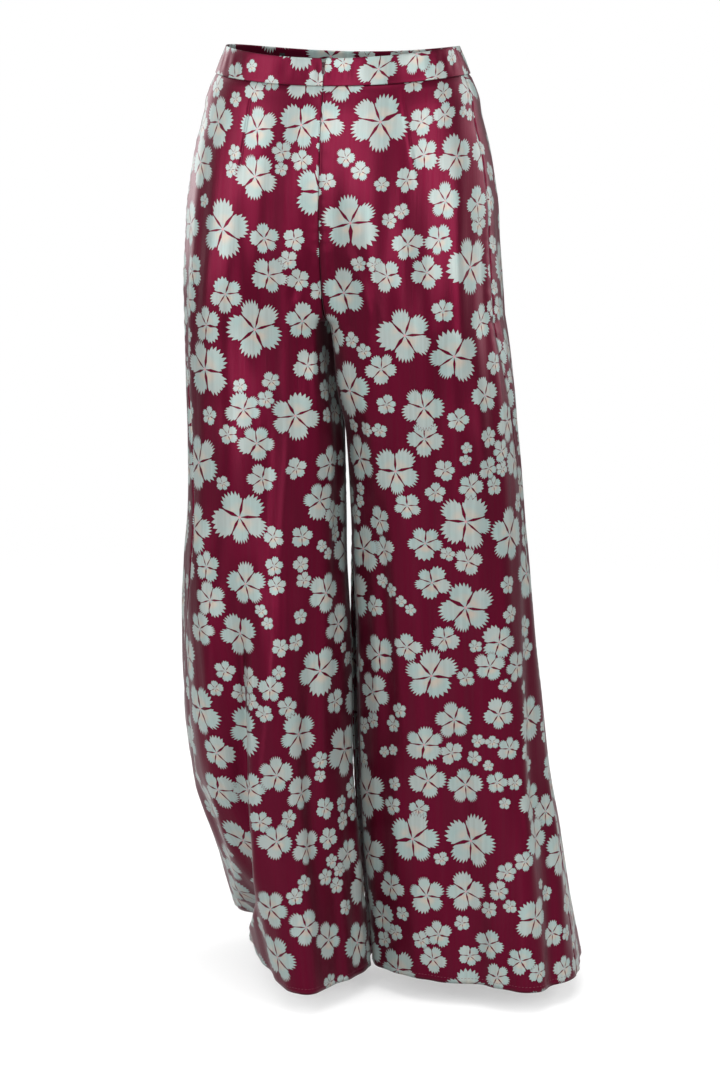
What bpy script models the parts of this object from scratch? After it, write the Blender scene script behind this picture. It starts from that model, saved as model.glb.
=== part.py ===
"""Palazzo pants: wide-legged satin trousers with a waistband and a zip at the centre back.

Metres, +Z up. The origin is the middle of the waist, level with the top of the waistband at
the centre back. +Y is the back of the garment, -Y its front and +X the wearer's left.

The cloth is cut as four leg panels and a waistband. Every height has one outline for each
half of the garment: a rounded loop that is open along the garment's middle above the crotch
and closed below it. Both panels of a half lie on that outline, from the centre back seam or
the inseam round to the side seam, and from there to the centre front seam or the inseam.
The left back panel has a deep fold, so its solid is in two nodes, one above the other, which
lets the collision follow it. The real panel isn't cut there.
"""

import math

import bmesh
import bpy
import numpy as np

LEFT = 1
RIGHT = -1

# Lengths down from the top edge of the waistband.
BAND_HEIGHT = 0.029
CROTCH = 0.285
HEM = 1.038
ZIP_END = 0.205

# Walls and clearances.
CLOTH = 0.0012
BAND_OUT = 0.0005
BAND_IN = 0.0015
TAPE_OUT = -0.0018
TAPE = 0.0010
SEAM_GAP = 0.0003

# The band's top edge is higher at the hips than at the centre back and front.
SIDE_RISE = 0.010
SIDE_RISE_ENDS = 0.200

# One row for each level of the outline. drop is the length down from the waist. x and y are
# where the loop's middle lies, and inner, outer, back and front how far it reaches from there.
# turn turns the loop about its middle, in degrees, and tilt lets its outer back corner stand
# out. square and inner_square are the superellipse's powers, 2 for an ellipse. inseam and side
# are the seams' places, as degrees round the loop from its outer side (0) over its back (90).
COLUMNS = (
    "drop", "x", "y", "inner", "outer", "back", "front", "turn", "tilt", "square", "inner_square",
    "inseam", "side",
)
HIPS = (
    (0.000, 0.0000, 0.000, 0.400, 0.1280, 0.0920, 0.0880, 0, 0.00, 2.00, 2.00, 180, 10),
    (0.029, 0.0000, 0.000, 0.400, 0.1400, 0.0980, 0.0925, 0, 0.00, 2.05, 2.05, 180, 10),
    (0.060, 0.0000, 0.000, 0.400, 0.1515, 0.1085, 0.0960, 0, 0.00, 2.10, 2.10, 180, 12),
    (0.100, 0.0080, 0.000, 0.400, 0.1535, 0.1165, 0.0985, 0, 0.00, 2.12, 2.15, 180, 13),
    (0.150, 0.0250, 0.000, 0.290, 0.1455, 0.1205, 0.1000, 0, 0.00, 2.15, 2.25, 180, 14),
    (0.200, 0.0480, 0.000, 0.179, 0.1255, 0.1200, 0.1000, 0, 0.00, 2.20, 2.50, 180, 15),
)
LEGS = {
    LEFT: (
        (0.235, 0.0660, 0.000, 0.1272, 0.1090, 0.1180, 0.1000, 0, 0.00, 2.26, 2.80, 180, 16),
        (0.260, 0.0755, 0.000, 0.1037, 0.0990, 0.1160, 0.1000, 0, 0.00, 2.32, 3.10, 180, 17),
        (0.275, 0.0800, 0.000, 0.0907, 0.0938, 0.1148, 0.1000, 0, 0.00, 2.36, 3.30, 180, 18),
        (0.285, 0.0825, 0.000, 0.0825, 0.0908, 0.1140, 0.1001, 0, 0.00, 2.40, 3.30, 180, 19),
        (0.360, 0.0885, 0.006, 0.0840, 0.0842, 0.1085, 0.1030, 6, 0.00, 2.40, 2.80, 180, 28),
        (0.411, 0.0850, 0.010, 0.0860, 0.0870, 0.1058, 0.1040, 10, 0.05, 2.40, 2.55, 180, 28),
        (0.500, 0.0825, 0.014, 0.0875, 0.0900, 0.1040, 0.1060, 13, 0.10, 2.40, 2.40, 180, 28),
        (0.560, 0.0845, 0.016, 0.0900, 0.0920, 0.1040, 0.1090, 16, 0.14, 2.40, 2.40, 176, 24),
        (0.600, 0.0860, 0.016, 0.0920, 0.0920, 0.1060, 0.1110, 19, 0.16, 2.40, 2.40, 172, 14),
        (0.650, 0.0875, 0.015, 0.0935, 0.0900, 0.1080, 0.1150, 22, 0.18, 2.40, 2.40, 168, 0),
        (0.720, 0.0880, 0.010, 0.0930, 0.0890, 0.1120, 0.1220, 24, 0.22, 2.40, 2.40, 162, -14),
        (0.800, 0.0845, 0.000, 0.0875, 0.0885, 0.1170, 0.1290, 25, 0.25, 2.45, 2.45, 156, -26),
        (0.880, 0.0760, -0.013, 0.0830, 0.0800, 0.1240, 0.1340, 26, 0.28, 2.50, 2.50, 150, -36),
        (0.960, 0.0665, -0.027, 0.0755, 0.0715, 0.1310, 0.1380, 27, 0.30, 2.55, 2.55, 147, -43),
        (1.038, 0.0620, -0.039, 0.0750, 0.0600, 0.1370, 0.1410, 27, 0.32, 2.60, 2.60, 145, -48),
    ),
    RIGHT: (
        (0.235, 0.0660, 0.000, 0.1272, 0.1100, 0.1180, 0.1000, 0, 0.00, 2.26, 2.80, 180, 16),
        (0.260, 0.0755, 0.000, 0.1037, 0.1020, 0.1160, 0.1000, 0, 0.00, 2.32, 3.10, 180, 16),
        (0.275, 0.0800, 0.000, 0.0907, 0.0983, 0.1148, 0.1000, 0, 0.00, 2.36, 3.30, 180, 16),
        (0.285, 0.0825, 0.000, 0.0825, 0.0965, 0.1140, 0.1001, 0, 0.00, 2.40, 3.30, 180, 16),
        (0.360, 0.0935, -0.004, 0.0930, 0.0960, 0.1085, 0.1020, 4, 0.00, 2.45, 2.80, 180, 15),
        (0.411, 0.1000, -0.008, 0.0945, 0.0935, 0.1062, 0.1040, 7, 0.05, 2.50, 2.60, 180, 14),
        (0.500, 0.1055, -0.014, 0.0965, 0.0945, 0.1040, 0.1040, 11, 0.10, 2.50, 2.50, 180, 14),
        (0.560, 0.1075, -0.019, 0.1000, 0.0975, 0.1020, 0.1040, 14, 0.14, 2.50, 2.50, 180, 14),
        (0.650, 0.1100, -0.027, 0.1040, 0.1020, 0.1000, 0.1020, 17, 0.20, 2.50, 2.50, 180, 13),
        (0.720, 0.1120, -0.032, 0.1060, 0.1070, 0.0970, 0.1000, 17, 0.24, 2.50, 2.50, 180, 12),
        (0.800, 0.1160, -0.037, 0.1090, 0.1105, 0.0930, 0.0980, 15, 0.28, 2.50, 2.50, 180, 11),
        (0.880, 0.1265, -0.040, 0.1155, 0.1145, 0.0890, 0.0950, 12, 0.32, 2.55, 2.55, 180, 10),
        (0.960, 0.1380, -0.042, 0.1200, 0.1160, 0.0850, 0.0920, 8, 0.35, 2.60, 2.60, 180, 10),
        (1.038, 0.1515, -0.042, 0.1290, 0.1160, 0.0810, 0.0900, 4, 0.38, 2.60, 2.60, 180, 10),
    ),
}

# One row for each fold of the cloth: the leg, its place round the loop where it starts and at
# the hem, in degrees, the drops where it starts and where it is at its full depth, half its
# width, and its depth. A depth below 0 is a trough, and one above 0 is a ridge.
FOLD_COLUMNS = ("leg", "angle_top", "angle_hem", "starts", "full", "half_width", "depth")
FOLD_ROWS = (
    (LEFT, 75, -8, 0.40, 0.74, 0.042, -0.034),
    (LEFT, 36, -42, 0.42, 0.80, 0.045, 0.005),
    (LEFT, 150, 146, 0.48, 0.66, 0.050, 0.006),
    (LEFT, 112, 100, 0.35, 0.80, 0.034, -0.006),
    (LEFT, -64, -72, 0.20, 0.80, 0.042, -0.012),
    (LEFT, -88, -92, 0.25, 0.80, 0.038, 0.009),
    (LEFT, -115, -113, 0.20, 0.75, 0.038, -0.010),
    (LEFT, -142, -142, 0.30, 0.80, 0.032, 0.006),
    (RIGHT, 172, 164, 0.48, 0.66, 0.050, -0.006),
    (RIGHT, 118, 112, 0.30, 0.80, 0.034, 0.005),
    (RIGHT, 92, 88, 0.36, 0.80, 0.034, -0.007),
    (RIGHT, 62, 60, 0.40, 0.85, 0.036, 0.005),
    (RIGHT, 34, 36, 0.45, 0.85, 0.036, -0.008),
    (RIGHT, -30, -32, 0.25, 0.80, 0.040, 0.008),
    (RIGHT, -62, -64, 0.22, 0.80, 0.042, -0.012),
    (RIGHT, -92, -94, 0.25, 0.80, 0.038, 0.009),
    (RIGHT, -124, -122, 0.25, 0.80, 0.038, -0.010),
    (RIGHT, -150, -150, 0.30, 0.80, 0.030, 0.005),
)

FOLDS = [dict(zip(FOLD_COLUMNS, row)) for row in FOLD_ROWS]
DEEPEST_FOLD = min(FOLDS, key=lambda fold: fold["depth"])

# Where the hem is lifted: its place round the loop, half its width in degrees, and its height.
HEM_LIFTS = {LEFT: (-30, 80, 0.034), RIGHT: (-40, 80, 0.004)}
HEM_LIFT_STARTS = 0.60

# The panels' grids of points.
HIP_DROPS = (
    0.045, 0.065, 0.090, 0.120, 0.150, 0.180, 0.205, 0.228, 0.248, 0.263, 0.274, 0.281, CROTCH,
)
LEG_ROWS = 22
SPLIT_ROW = 16
OUTLINE_POINTS = 721
BAND_COLUMNS = {"front": 16, "back": 14}

# Each panel's columns by the side seam keep their width past the crotch, where the others fan
# out. The counts are of the fanned and the plain columns, and the length is the plain ones'.
# One column of the panel with the deepest fold runs along the bottom of that fold.
PANEL_COLUMNS = {
    (LEFT, "back"): (9, 21, 0.138),
    (LEFT, "front"): (7, 12, 0.205),
    (RIGHT, "back"): (7, 13, 0.138),
    (RIGHT, "front"): (7, 15, 0.205),
}
DEEP_FOLD_COLUMN = 20
FAN_STARTS = 0.120
FAN_FULL = (0.255, 0.300)
FAN_ENDS = 0.620

# The notch between the ends of the band, and the strips along the centre back.
NOTCH_DEPTH = 0.0125
NOTCH_HALF_WIDTH = 0.0030
TAPE_WIDTH = 0.012
TAPE_TOP = 0.0125
TAPE_DROPS = 14
LABEL_START = 0.046
LABEL_WIDTH = 0.0060
LABEL_ABOVE = 0.0035
LABEL_BELOW = 0.0150

# The zip's slider and pull tab. Their own Y is out from the band, and their own Z is up along
# it, from the point on the band's face at SLIDER_DROP.
SLIDER_DROP = 0.0075
BODY_SIZE = (0.0042, 0.0020, 0.0070)
BODY_BACK = -0.0023
NECK_SIZE = (0.0008, 0.0017)
BAIL_WIDTH = 0.0010
BAIL_RADIUS = 0.0017
BAIL_HOLE = 0.0009
BAIL_OUT = 0.0013
TAB_SIZE = (0.0030, 0.0008, 0.0100)
TAB_TOP = 0.0005
WINDOW_WIDTH = 0.0016
WINDOW_BOTTOM = 0.0022
TAB_CORNER = 0.0011
ROUND_SIDES = 24

BURGUNDY = (0.155, 0.010, 0.040, 1.0)
DARK_BURGUNDY = (0.085, 0.006, 0.022, 1.0)
BLACK = (0.012, 0.012, 0.013, 1.0)


def ease(value):
    """0 below 0, 1 above 1, and smooth between them."""
    value = np.clip(value, 0.0, 1.0)
    return value * value * (3.0 - 2.0 * value)


def bump(value):
    """1 at 0, falling smoothly to 0 at -1 and 1."""
    return np.cos(np.clip(value, -1.0, 1.0) * math.pi / 2.0) ** 2


def signed_power(values, power):
    """Raise the size of each value to a power and keep its sign."""
    return np.sign(values) * np.abs(values) ** power


def slopes(levels, rows):
    """The slope of each column at each level, so that no column overshoots between its rows."""
    steps = np.diff(levels)[:, None]
    rises = np.diff(rows, axis=0) / steps
    result = np.zeros_like(rows)
    result[0] = rises[0]
    result[-1] = rises[-1]
    for i in range(1, len(levels) - 1):
        near = 2.0 * steps[i] + steps[i - 1]
        far = steps[i] + 2.0 * steps[i - 1]
        product = rises[i - 1] * rises[i]
        same_way = product > 0.0
        mixed = near * rises[i] + far * rises[i - 1]
        blended = (near + far) * product / np.where(same_way, mixed, 1.0)
        result[i] = np.where(same_way, blended, 0.0)
    return result


def leg_table(side):
    """The levels, values and slopes of one half of the garment."""
    rows = np.array(HIPS + LEGS[side], dtype=float)
    return rows[:, 0], rows[:, 1:], slopes(rows[:, 0], rows[:, 1:])


TABLES = {side: leg_table(side) for side in (LEFT, RIGHT)}


def level(side, drop):
    """The outline's named values at any drop, read smoothly between the table's rows."""
    levels, rows, rates = TABLES[side]
    i = int(np.clip(np.searchsorted(levels, drop) - 1, 0, len(levels) - 2))
    step = levels[i + 1] - levels[i]
    t = (drop - levels[i]) / step
    start = (2 * t**3 - 3 * t**2 + 1) * rows[i] + (t**3 - 2 * t**2 + t) * step * rates[i]
    end = (3 * t**2 - 2 * t**3) * rows[i + 1] + (t**3 - t**2) * step * rates[i + 1]
    return dict(zip(COLUMNS[1:], start + end))


def lengths(points):
    """The length along a line of points, at each of them."""
    return np.concatenate([[0.0], np.cumsum(np.linalg.norm(np.diff(points, axis=0), axis=1))])


def outward(points, side):
    """The unit normals in plan of an outline that runs from the back to the front."""
    along = np.gradient(points, axis=0)
    normals = np.stack([-along[:, 1], along[:, 0]], axis=1) * side
    return normals / np.linalg.norm(normals, axis=1)[:, None]


def fold_angle(fold, drop):
    """A fold's place round the loop at a drop, in radians. It turns faster towards the hem."""
    reach = max(0.0, (drop - fold["starts"]) / (HEM - fold["starts"]))
    return math.radians(fold["angle_top"] + (fold["angle_hem"] - fold["angle_top"]) * reach**2)


def fold_offsets(side, drop, angles, along):
    """How far the folds push the cloth out or in at each point of an outline."""
    total = np.zeros_like(along)
    for fold in FOLDS:
        if fold["leg"] != side or drop <= fold["starts"]:
            continue
        centre = np.interp(-fold_angle(fold, drop), -angles, along)
        growth = ease((drop - fold["starts"]) / (fold["full"] - fold["starts"]))
        total += fold["depth"] * growth * bump((along - centre) / fold["half_width"])
    return total


class Outline:
    """One half of the garment at one drop, from its centre back or inseam round to its front."""

    def __init__(self, side, drop):
        self.side = side
        self.drop = drop
        values = level(side, drop)
        if drop < CROTCH:
            share = min(1.0, values["x"] / values["inner"])
            first = math.pi - math.acos(share ** (values["inner_square"] / 2.0))
            last = -first
        else:
            first = math.radians(values["inseam"])
            last = first - 2.0 * math.pi
        angles = np.linspace(first, last, OUTLINE_POINTS)
        powers = 2.0 / np.where(np.cos(angles) > 0.0, values["square"], values["inner_square"])
        cosines = signed_power(np.cos(angles), powers)
        sines = signed_power(np.sin(angles), powers)
        across = np.where(cosines > 0.0, values["outer"], values["inner"]) * cosines
        back = values["back"] * (1.0 + values["tilt"] * cosines)
        deep = np.where(sines > 0.0, back, values["front"]) * sines
        turn = math.radians(values["turn"])
        x = side * (values["x"] + across * math.cos(turn)) - deep * math.sin(turn)
        y = values["y"] + side * across * math.sin(turn) + deep * math.cos(turn)
        plain = np.stack([x, y], axis=1)
        offsets = fold_offsets(side, drop, angles, lengths(plain))
        self.points = plain + outward(plain, side) * offsets[:, None]
        self.normals = outward(self.points, side)
        self.angles = angles
        self.along = lengths(self.points)
        self.side_seam = float(np.interp(-math.radians(values["side"]), -angles, self.along))
        self.length = float(self.along[-1])

    def height(self, angles):
        """Z of the points at the given angles: the band's rise at the hips and the hem's lift."""
        place, half_width, lift = HEM_LIFTS[self.side]
        rise = SIDE_RISE * np.cos(angles) ** 2 * (1.0 - ease(self.drop / SIDE_RISE_ENDS))
        lifted = lift * bump((np.degrees(angles) - place) / half_width)
        return rise - self.drop + lifted * ease((self.drop - HEM_LIFT_STARTS) / (HEM - HEM_LIFT_STARTS))

    def read(self, places):
        """Points in space and plan normals at lengths along the outline."""
        angles = np.interp(places, self.along, self.angles)
        points = [np.interp(places, self.along, self.points[:, axis]) for axis in (0, 1)]
        normals = [np.interp(places, self.along, self.normals[:, axis]) for axis in (0, 1)]
        return np.stack(points + [self.height(angles)], axis=1), np.stack(normals, axis=1)


def spans(outline, panel, columns, edge):
    """Lengths along the outline at evenly spaced columns of a panel, clear of its seams."""
    if panel == "back":
        return np.linspace(edge, outline.side_seam - SEAM_GAP / 2.0, columns + 1)
    return np.linspace(outline.side_seam + SEAM_GAP / 2.0, outline.length - edge, columns + 1)


def fanned_spans(outline, panel):
    """Lengths along the outline at a leg panel's columns, which fan out by the crotch."""
    fanned, plain, plain_length = PANEL_COLUMNS[outline.side, panel]
    even = spans(outline, panel, fanned + plain, SEAM_GAP / 2.0)
    seam, edge = (even[-1], even[0]) if panel == "back" else (even[0], even[-1])
    above = ease((outline.drop - FAN_STARTS) / (FAN_FULL[0] - FAN_STARTS))
    below = ease((outline.drop - FAN_FULL[1]) / (FAN_ENDS - FAN_FULL[1]))
    way = math.copysign(1.0, edge - seam)
    bend = seam + way * plain_length
    by_seam = np.linspace(seam, bend, plain + 1)
    by_edge = np.linspace(bend, edge, fanned + 1)
    uneven = np.sort(np.concatenate([by_seam, by_edge[1:]]))
    places = even + (uneven - even) * above * (1.0 - below)
    if (outline.side, panel) == (DEEPEST_FOLD["leg"], "back"):
        bottom = np.interp(-fold_angle(DEEPEST_FOLD, outline.drop), -outline.angles, outline.along)
        old = places[DEEP_FOLD_COLUMN]
        new = old + (bottom - old) * ease(2.0 * (outline.drop / DEEPEST_FOLD["starts"] - 1.0))
        places = np.interp(places, (places[0], old, places[-1]), (places[0], new, places[-1]))
    return places


def surface(side, drops, places):
    """Rows of points and of unit normals: places(outline) gives the lengths along each row."""
    rows = []
    plans = []
    for drop in drops:
        outline = Outline(side, drop)
        points, plan = outline.read(places(outline))
        rows.append(points)
        plans.append(plan)
    rows = np.array(rows)
    plans = np.array(plans)
    fall = np.gradient(rows, axis=0)
    slope = np.sum(plans * fall[..., :2], axis=2) / -fall[..., 2]
    normals = np.concatenate([plans, slope[..., None]], axis=2)
    return rows, normals / np.linalg.norm(normals, axis=2)[..., None]


def new_material(name, colour, roughness, metallic=0.0):
    """A Principled material of one colour."""
    material = bpy.data.materials.new(name)
    material.use_nodes = True
    shader = material.node_tree.nodes["Principled BSDF"]
    shader.inputs["Base Color"].default_value = colour
    shader.inputs["Roughness"].default_value = roughness
    shader.inputs["Metallic"].default_value = metallic
    material.diffuse_color = colour
    return material


def new_object(name, bm, material):
    """Put a finished bmesh into the scene as one object."""
    bmesh.ops.recalc_face_normals(bm, faces=bm.faces)
    mesh = bpy.data.meshes.new(name)
    bm.to_mesh(mesh)
    bm.free()
    mesh.materials.append(material)
    obj = bpy.data.objects.new(name, mesh)
    bpy.context.scene.collection.objects.link(obj)
    return obj


def cloth_solid(name, outer, inner, material):
    """A closed wall between two grids of points of the same size."""
    rows, columns = outer.shape[0] - 1, outer.shape[1] - 1
    bm = bmesh.new()
    bmesh.ops.create_grid(bm, x_segments=columns, y_segments=rows, size=1.0)
    number = bm.verts.layers.int.new("number")
    for vertex in bm.verts:
        column = round((vertex.co.x + 1.0) / 2.0 * columns)
        row = round((vertex.co.y + 1.0) / 2.0 * rows)
        vertex[number] = row * (columns + 1) + column
        vertex.co = outer[row, column]
    inner_points = inner.reshape(-1, 3)
    walled = bmesh.ops.extrude_face_region(bm, geom=bm.faces[:], use_keep_orig=True)
    for vertex in walled["geom"]:
        if isinstance(vertex, bmesh.types.BMVert):
            vertex.co = inner_points[vertex[number]]
    obj = new_object(name, bm, material)
    obj.data.shade_smooth()
    obj.data.set_sharp_from_angle(angle=math.radians(50.0))
    return obj


def cloth_piece(name, side, drops, places, material, out=0.0, thickness=CLOTH):
    """A cloth wall whose outer face lies out from the garment's outline."""
    points, normals = surface(side, drops, places)
    outer = points + normals * out
    return cloth_solid(name, outer, outer - normals * thickness, material)


def panel_drops():
    """The drops of a leg panel's rows, from the waistband's seam to the hem."""
    leg_drops = np.linspace(CROTCH, HEM, LEG_ROWS + 1)[1:]
    return np.concatenate([[BAND_HEIGHT + SEAM_GAP], HIP_DROPS, leg_drops])


def leg_panel(name, side, panel, drops, material):
    """A front or back leg panel, or the stretch of it between the first and last drops."""

    def places(outline):
        return fanned_spans(outline, panel)

    return cloth_piece(name, side, drops, places, material)


def notch(drop):
    """Half the gap between the band's ends at the centre back."""
    open_share = max(0.0, 1.0 - drop / NOTCH_DEPTH)
    return SEAM_GAP / 2.0 + (NOTCH_HALF_WIDTH - SEAM_GAP / 2.0) * open_share


def waistband_back(name, side, material):
    """Half of the waistband's back, with its end cut away for the notch above the zip."""
    drops = (0.0, NOTCH_DEPTH / 2.0, NOTCH_DEPTH, (NOTCH_DEPTH + BAND_HEIGHT) / 2.0, BAND_HEIGHT)

    def places(outline):
        return spans(outline, "back", BAND_COLUMNS["back"], notch(outline.drop))

    return cloth_piece(name, side, drops, places, material, BAND_OUT, BAND_OUT + BAND_IN)


def waistband_front(name, material):
    """The waistband's front, in one piece from side seam to side seam."""
    drops = (0.0, BAND_HEIGHT / 2.0, BAND_HEIGHT)
    columns = BAND_COLUMNS["front"]
    halves = {}
    for side in (LEFT, RIGHT):
        halves[side] = surface(side, drops, lambda outline: spans(outline, "front", columns, 0.0))
    joined = []
    for left, right in zip(halves[LEFT], halves[RIGHT]):
        joined.append(np.concatenate([left, right[:, -2::-1]], axis=1))
    points, normals = joined
    outer = points + normals * BAND_OUT
    return cloth_solid(name, outer, outer - normals * (BAND_OUT + BAND_IN), material)


def zip_tape(name, side, material):
    """One tape of the zip, inside the garment beside the centre back seam."""
    drops = np.linspace(TAPE_TOP, ZIP_END, TAPE_DROPS)

    def places(outline):
        return SEAM_GAP / 2.0 + np.linspace(0.0, TAPE_WIDTH, 3)

    return cloth_piece(name, side, drops, places, material, TAPE_OUT, TAPE)


def label(name, material):
    """A small plain label behind the band, which stands a little above its top edge."""
    drops = np.linspace(0.0, LABEL_BELOW, 4)

    def places(outline):
        return LABEL_START + np.linspace(0.0, LABEL_WIDTH, 3)

    points, normals = surface(LEFT, drops, places)
    outer = points + normals * TAPE_OUT
    up = (outer[0] - outer[1]) / np.linalg.norm(outer[0] - outer[1], axis=1)[:, None]
    outer = np.concatenate([(outer[0] + up * LABEL_ABOVE)[None], outer])
    normals = np.concatenate([normals[:1], normals])
    return cloth_solid(name, outer, outer - normals * TAPE, material)


def add_box(bm, size, centre):
    """A box of a size, about a centre."""
    made = bmesh.ops.create_cube(bm, size=1.0)
    bmesh.ops.scale(bm, vec=size, verts=made["verts"])
    bmesh.ops.translate(bm, vec=centre, verts=made["verts"])
    return made["verts"]


def box_object(name, size, centre, material):
    """A box as an object of its own."""
    bm = bmesh.new()
    add_box(bm, size, centre)
    return new_object(name, bm, material)


def ring_object(name, inner, outer, width, centre, material):
    """A flat ring about the X axis as an object of its own."""
    bm = bmesh.new()
    half = width / 2.0
    corners = [(-half, inner), (half, inner), (half, outer), (-half, outer)]
    section = [bm.verts.new((x, radius, 0.0)) for x, radius in corners]
    edges = [bm.edges.new((section[i - 1], section[i])) for i in range(len(section))]
    bmesh.ops.spin(
        bm,
        geom=section + edges,
        axis=(1.0, 0.0, 0.0),
        angle=2.0 * math.pi,
        steps=ROUND_SIDES,
        use_merge=True,
    )
    bmesh.ops.translate(bm, vec=centre, verts=bm.verts)
    return new_object(name, bm, material)


def combine(target, tool, operation):
    """Join a tool shape to a target, or cut it out, and remove the tool."""
    modifier = target.modifiers.new(operation.title(), "BOOLEAN")
    modifier.operation = operation
    modifier.object = tool
    graph = bpy.context.evaluated_depsgraph_get()
    mesh = bpy.data.meshes.new_from_object(target.evaluated_get(graph))
    target.modifiers.clear()
    target.data = mesh
    bpy.data.objects.remove(tool)


def zip_slider(name, material):
    """The slider's body behind the band, with a bail that comes out through the notch."""
    depth = BODY_SIZE[1]
    start = BODY_BACK - depth / 2.0
    end = BAIL_OUT - (BAIL_HOLE + BAIL_RADIUS) / 2.0
    centre = (0.0, BAIL_OUT, 0.0)
    bail = ring_object("bail", BAIL_HOLE, BAIL_RADIUS, BAIL_WIDTH, centre, material)
    neck_size = (NECK_SIZE[0], end - start, NECK_SIZE[1])
    neck = box_object("neck", neck_size, (0.0, (start + end) / 2.0, 0.0), material)
    body = box_object(name, BODY_SIZE, (0.0, start, 0.0), material)
    combine(body, neck, "UNION")
    combine(body, bail, "UNION")
    return body


def zip_pull_tab(name, material):
    """The pull tab: a plate with a window, whose top bar lies in the slider's bail."""
    width, depth, height = TAB_SIZE
    bm = bmesh.new()
    add_box(bm, TAB_SIZE, (0.0, 0.0, TAB_TOP - height / 2.0))
    low = []
    for edge in bm.edges:
        one, other = edge.verts
        if max(one.co.z, other.co.z) < -TAB_TOP and one.co.x * other.co.x > 0.0:
            low.append(edge)
    bmesh.ops.bevel(
        bm, geom=low, offset=TAB_CORNER, segments=5, profile=0.5, affect="EDGES", material=-1
    )
    tab = new_object(name, bm, material)
    window_height = WINDOW_BOTTOM - TAB_TOP
    window_size = (WINDOW_WIDTH, 3.0 * depth, window_height)
    window = box_object("window", window_size, (0.0, 0.0, -TAB_TOP - window_height / 2.0), material)
    combine(tab, window, "DIFFERENCE")
    return tab


def slider_place():
    """The point on the band's face where the zip's bail comes out, and the band's lean there."""
    step = 0.001
    drops = (SLIDER_DROP - step, SLIDER_DROP, SLIDER_DROP + step)
    points, normals = surface(LEFT, drops, lambda outline: np.zeros(1))
    place = points[1, 0] + normals[1, 0] * BAND_OUT
    lean = math.atan2(normals[1, 0, 2], normals[1, 0, 1])
    return (0.0, float(place[1]), float(place[2])), lean


def main():
    """Build every piece of the garment."""
    for obj in list(bpy.data.objects):
        bpy.data.objects.remove(obj)
    satin = new_material("satin", BURGUNDY, 0.40)
    tape = new_material("zip_tape", DARK_BURGUNDY, 0.80)
    enamel = new_material("enamel", DARK_BURGUNDY, 0.35)
    black = new_material("label", BLACK, 0.60)
    drops = panel_drops()
    below_split = np.concatenate([[drops[SPLIT_ROW] + SEAM_GAP], drops[SPLIT_ROW + 1 :]])
    leg_panel("back_left", LEFT, "back", drops[: SPLIT_ROW + 1], satin)
    leg_panel("back_left_leg", LEFT, "back", below_split, satin)
    leg_panel("back_right", RIGHT, "back", drops, satin)
    for word, side in (("left", LEFT), ("right", RIGHT)):
        leg_panel(f"front_{word}", side, "front", drops, satin)
        waistband_back(f"waistband_back_{word}", side, satin)
        zip_tape(f"zip_tape_{word}", side, tape)
    waistband_front("waistband_front", satin)
    label("label", black)

    place, lean = slider_place()
    seat = bpy.data.objects.new("zip_seat", None)
    bpy.context.scene.collection.objects.link(seat)
    seat.location = place
    seat.rotation_euler = (lean, 0.0, 0.0)
    slider = zip_slider("zip_slider", enamel)
    tab = zip_pull_tab("zip_pull_tab", enamel)
    slider.parent = seat
    tab.parent = seat
    tab.location = (0.0, BAIL_OUT, 0.0)
    bpy.context.view_layer.update()


if __name__ == "__main__":
    main()
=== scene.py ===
"""Palazzo pants: satin cloth, flower print, sewing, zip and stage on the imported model's frame."""

import math

import bmesh
import bpy
import numpy as np
from mathutils import Matrix, Vector


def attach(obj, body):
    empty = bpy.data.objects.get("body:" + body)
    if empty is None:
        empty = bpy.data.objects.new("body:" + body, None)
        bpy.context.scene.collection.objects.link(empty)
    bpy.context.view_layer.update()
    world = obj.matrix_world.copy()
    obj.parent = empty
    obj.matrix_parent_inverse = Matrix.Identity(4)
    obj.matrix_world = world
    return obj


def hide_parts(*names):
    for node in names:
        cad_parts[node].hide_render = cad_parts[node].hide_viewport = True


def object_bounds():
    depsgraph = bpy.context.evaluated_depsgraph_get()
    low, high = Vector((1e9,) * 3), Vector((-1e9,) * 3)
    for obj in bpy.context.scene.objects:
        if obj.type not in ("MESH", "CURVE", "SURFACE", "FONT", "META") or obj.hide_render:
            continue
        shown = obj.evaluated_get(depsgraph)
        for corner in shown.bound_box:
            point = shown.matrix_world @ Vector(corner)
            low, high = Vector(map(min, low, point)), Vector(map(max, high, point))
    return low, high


bl_info = {
    "name": "Palazzo Pants",
    "version": (1, 0, 0),
    "blender": (4, 5, 0),
    "location": "3D View > Sidebar > Palazzo",
    "description": "Wide-legged satin trousers with a flower print and a zip at the centre back",
    "category": "Object",
}

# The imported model, and the box round it.
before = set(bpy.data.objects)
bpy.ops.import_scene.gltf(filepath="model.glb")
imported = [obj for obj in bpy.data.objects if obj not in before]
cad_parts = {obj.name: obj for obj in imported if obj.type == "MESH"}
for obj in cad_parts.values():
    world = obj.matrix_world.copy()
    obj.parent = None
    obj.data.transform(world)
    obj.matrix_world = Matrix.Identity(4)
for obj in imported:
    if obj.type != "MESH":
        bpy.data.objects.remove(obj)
CAD_BOX = [list(corner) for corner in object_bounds()]

LEFT = 1
RIGHT = -1
SIDES = {"left": LEFT, "right": RIGHT}

# Lengths down from the top edge of the waistband.
BAND_HEIGHT = 0.029
CROTCH = 0.285
HEM = 1.038
ZIP_END = 0.205

# Walls and clearances. The band's faces stand BAND_OUT and BAND_IN off the outline, and a tape's
# outer face lies at TAPE_OUT. The zip's edges are SEAM_GAP apart, and a sewn seam's CLOSED_GAP.
# The tops of the leg panels are TUCKED up behind the band.
BAND_OUT = 0.0005
BAND_IN = 0.0015
TAPE_OUT = -0.0018
TAPE = 0.0010
SEAM_GAP = 0.0003
CLOSED_GAP = 0.00002
TUCKED = 0.0012

# The band's top edge is higher at the hips than at the centre back and front.
SIDE_RISE = 0.010
SIDE_RISE_ENDS = 0.200

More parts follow.
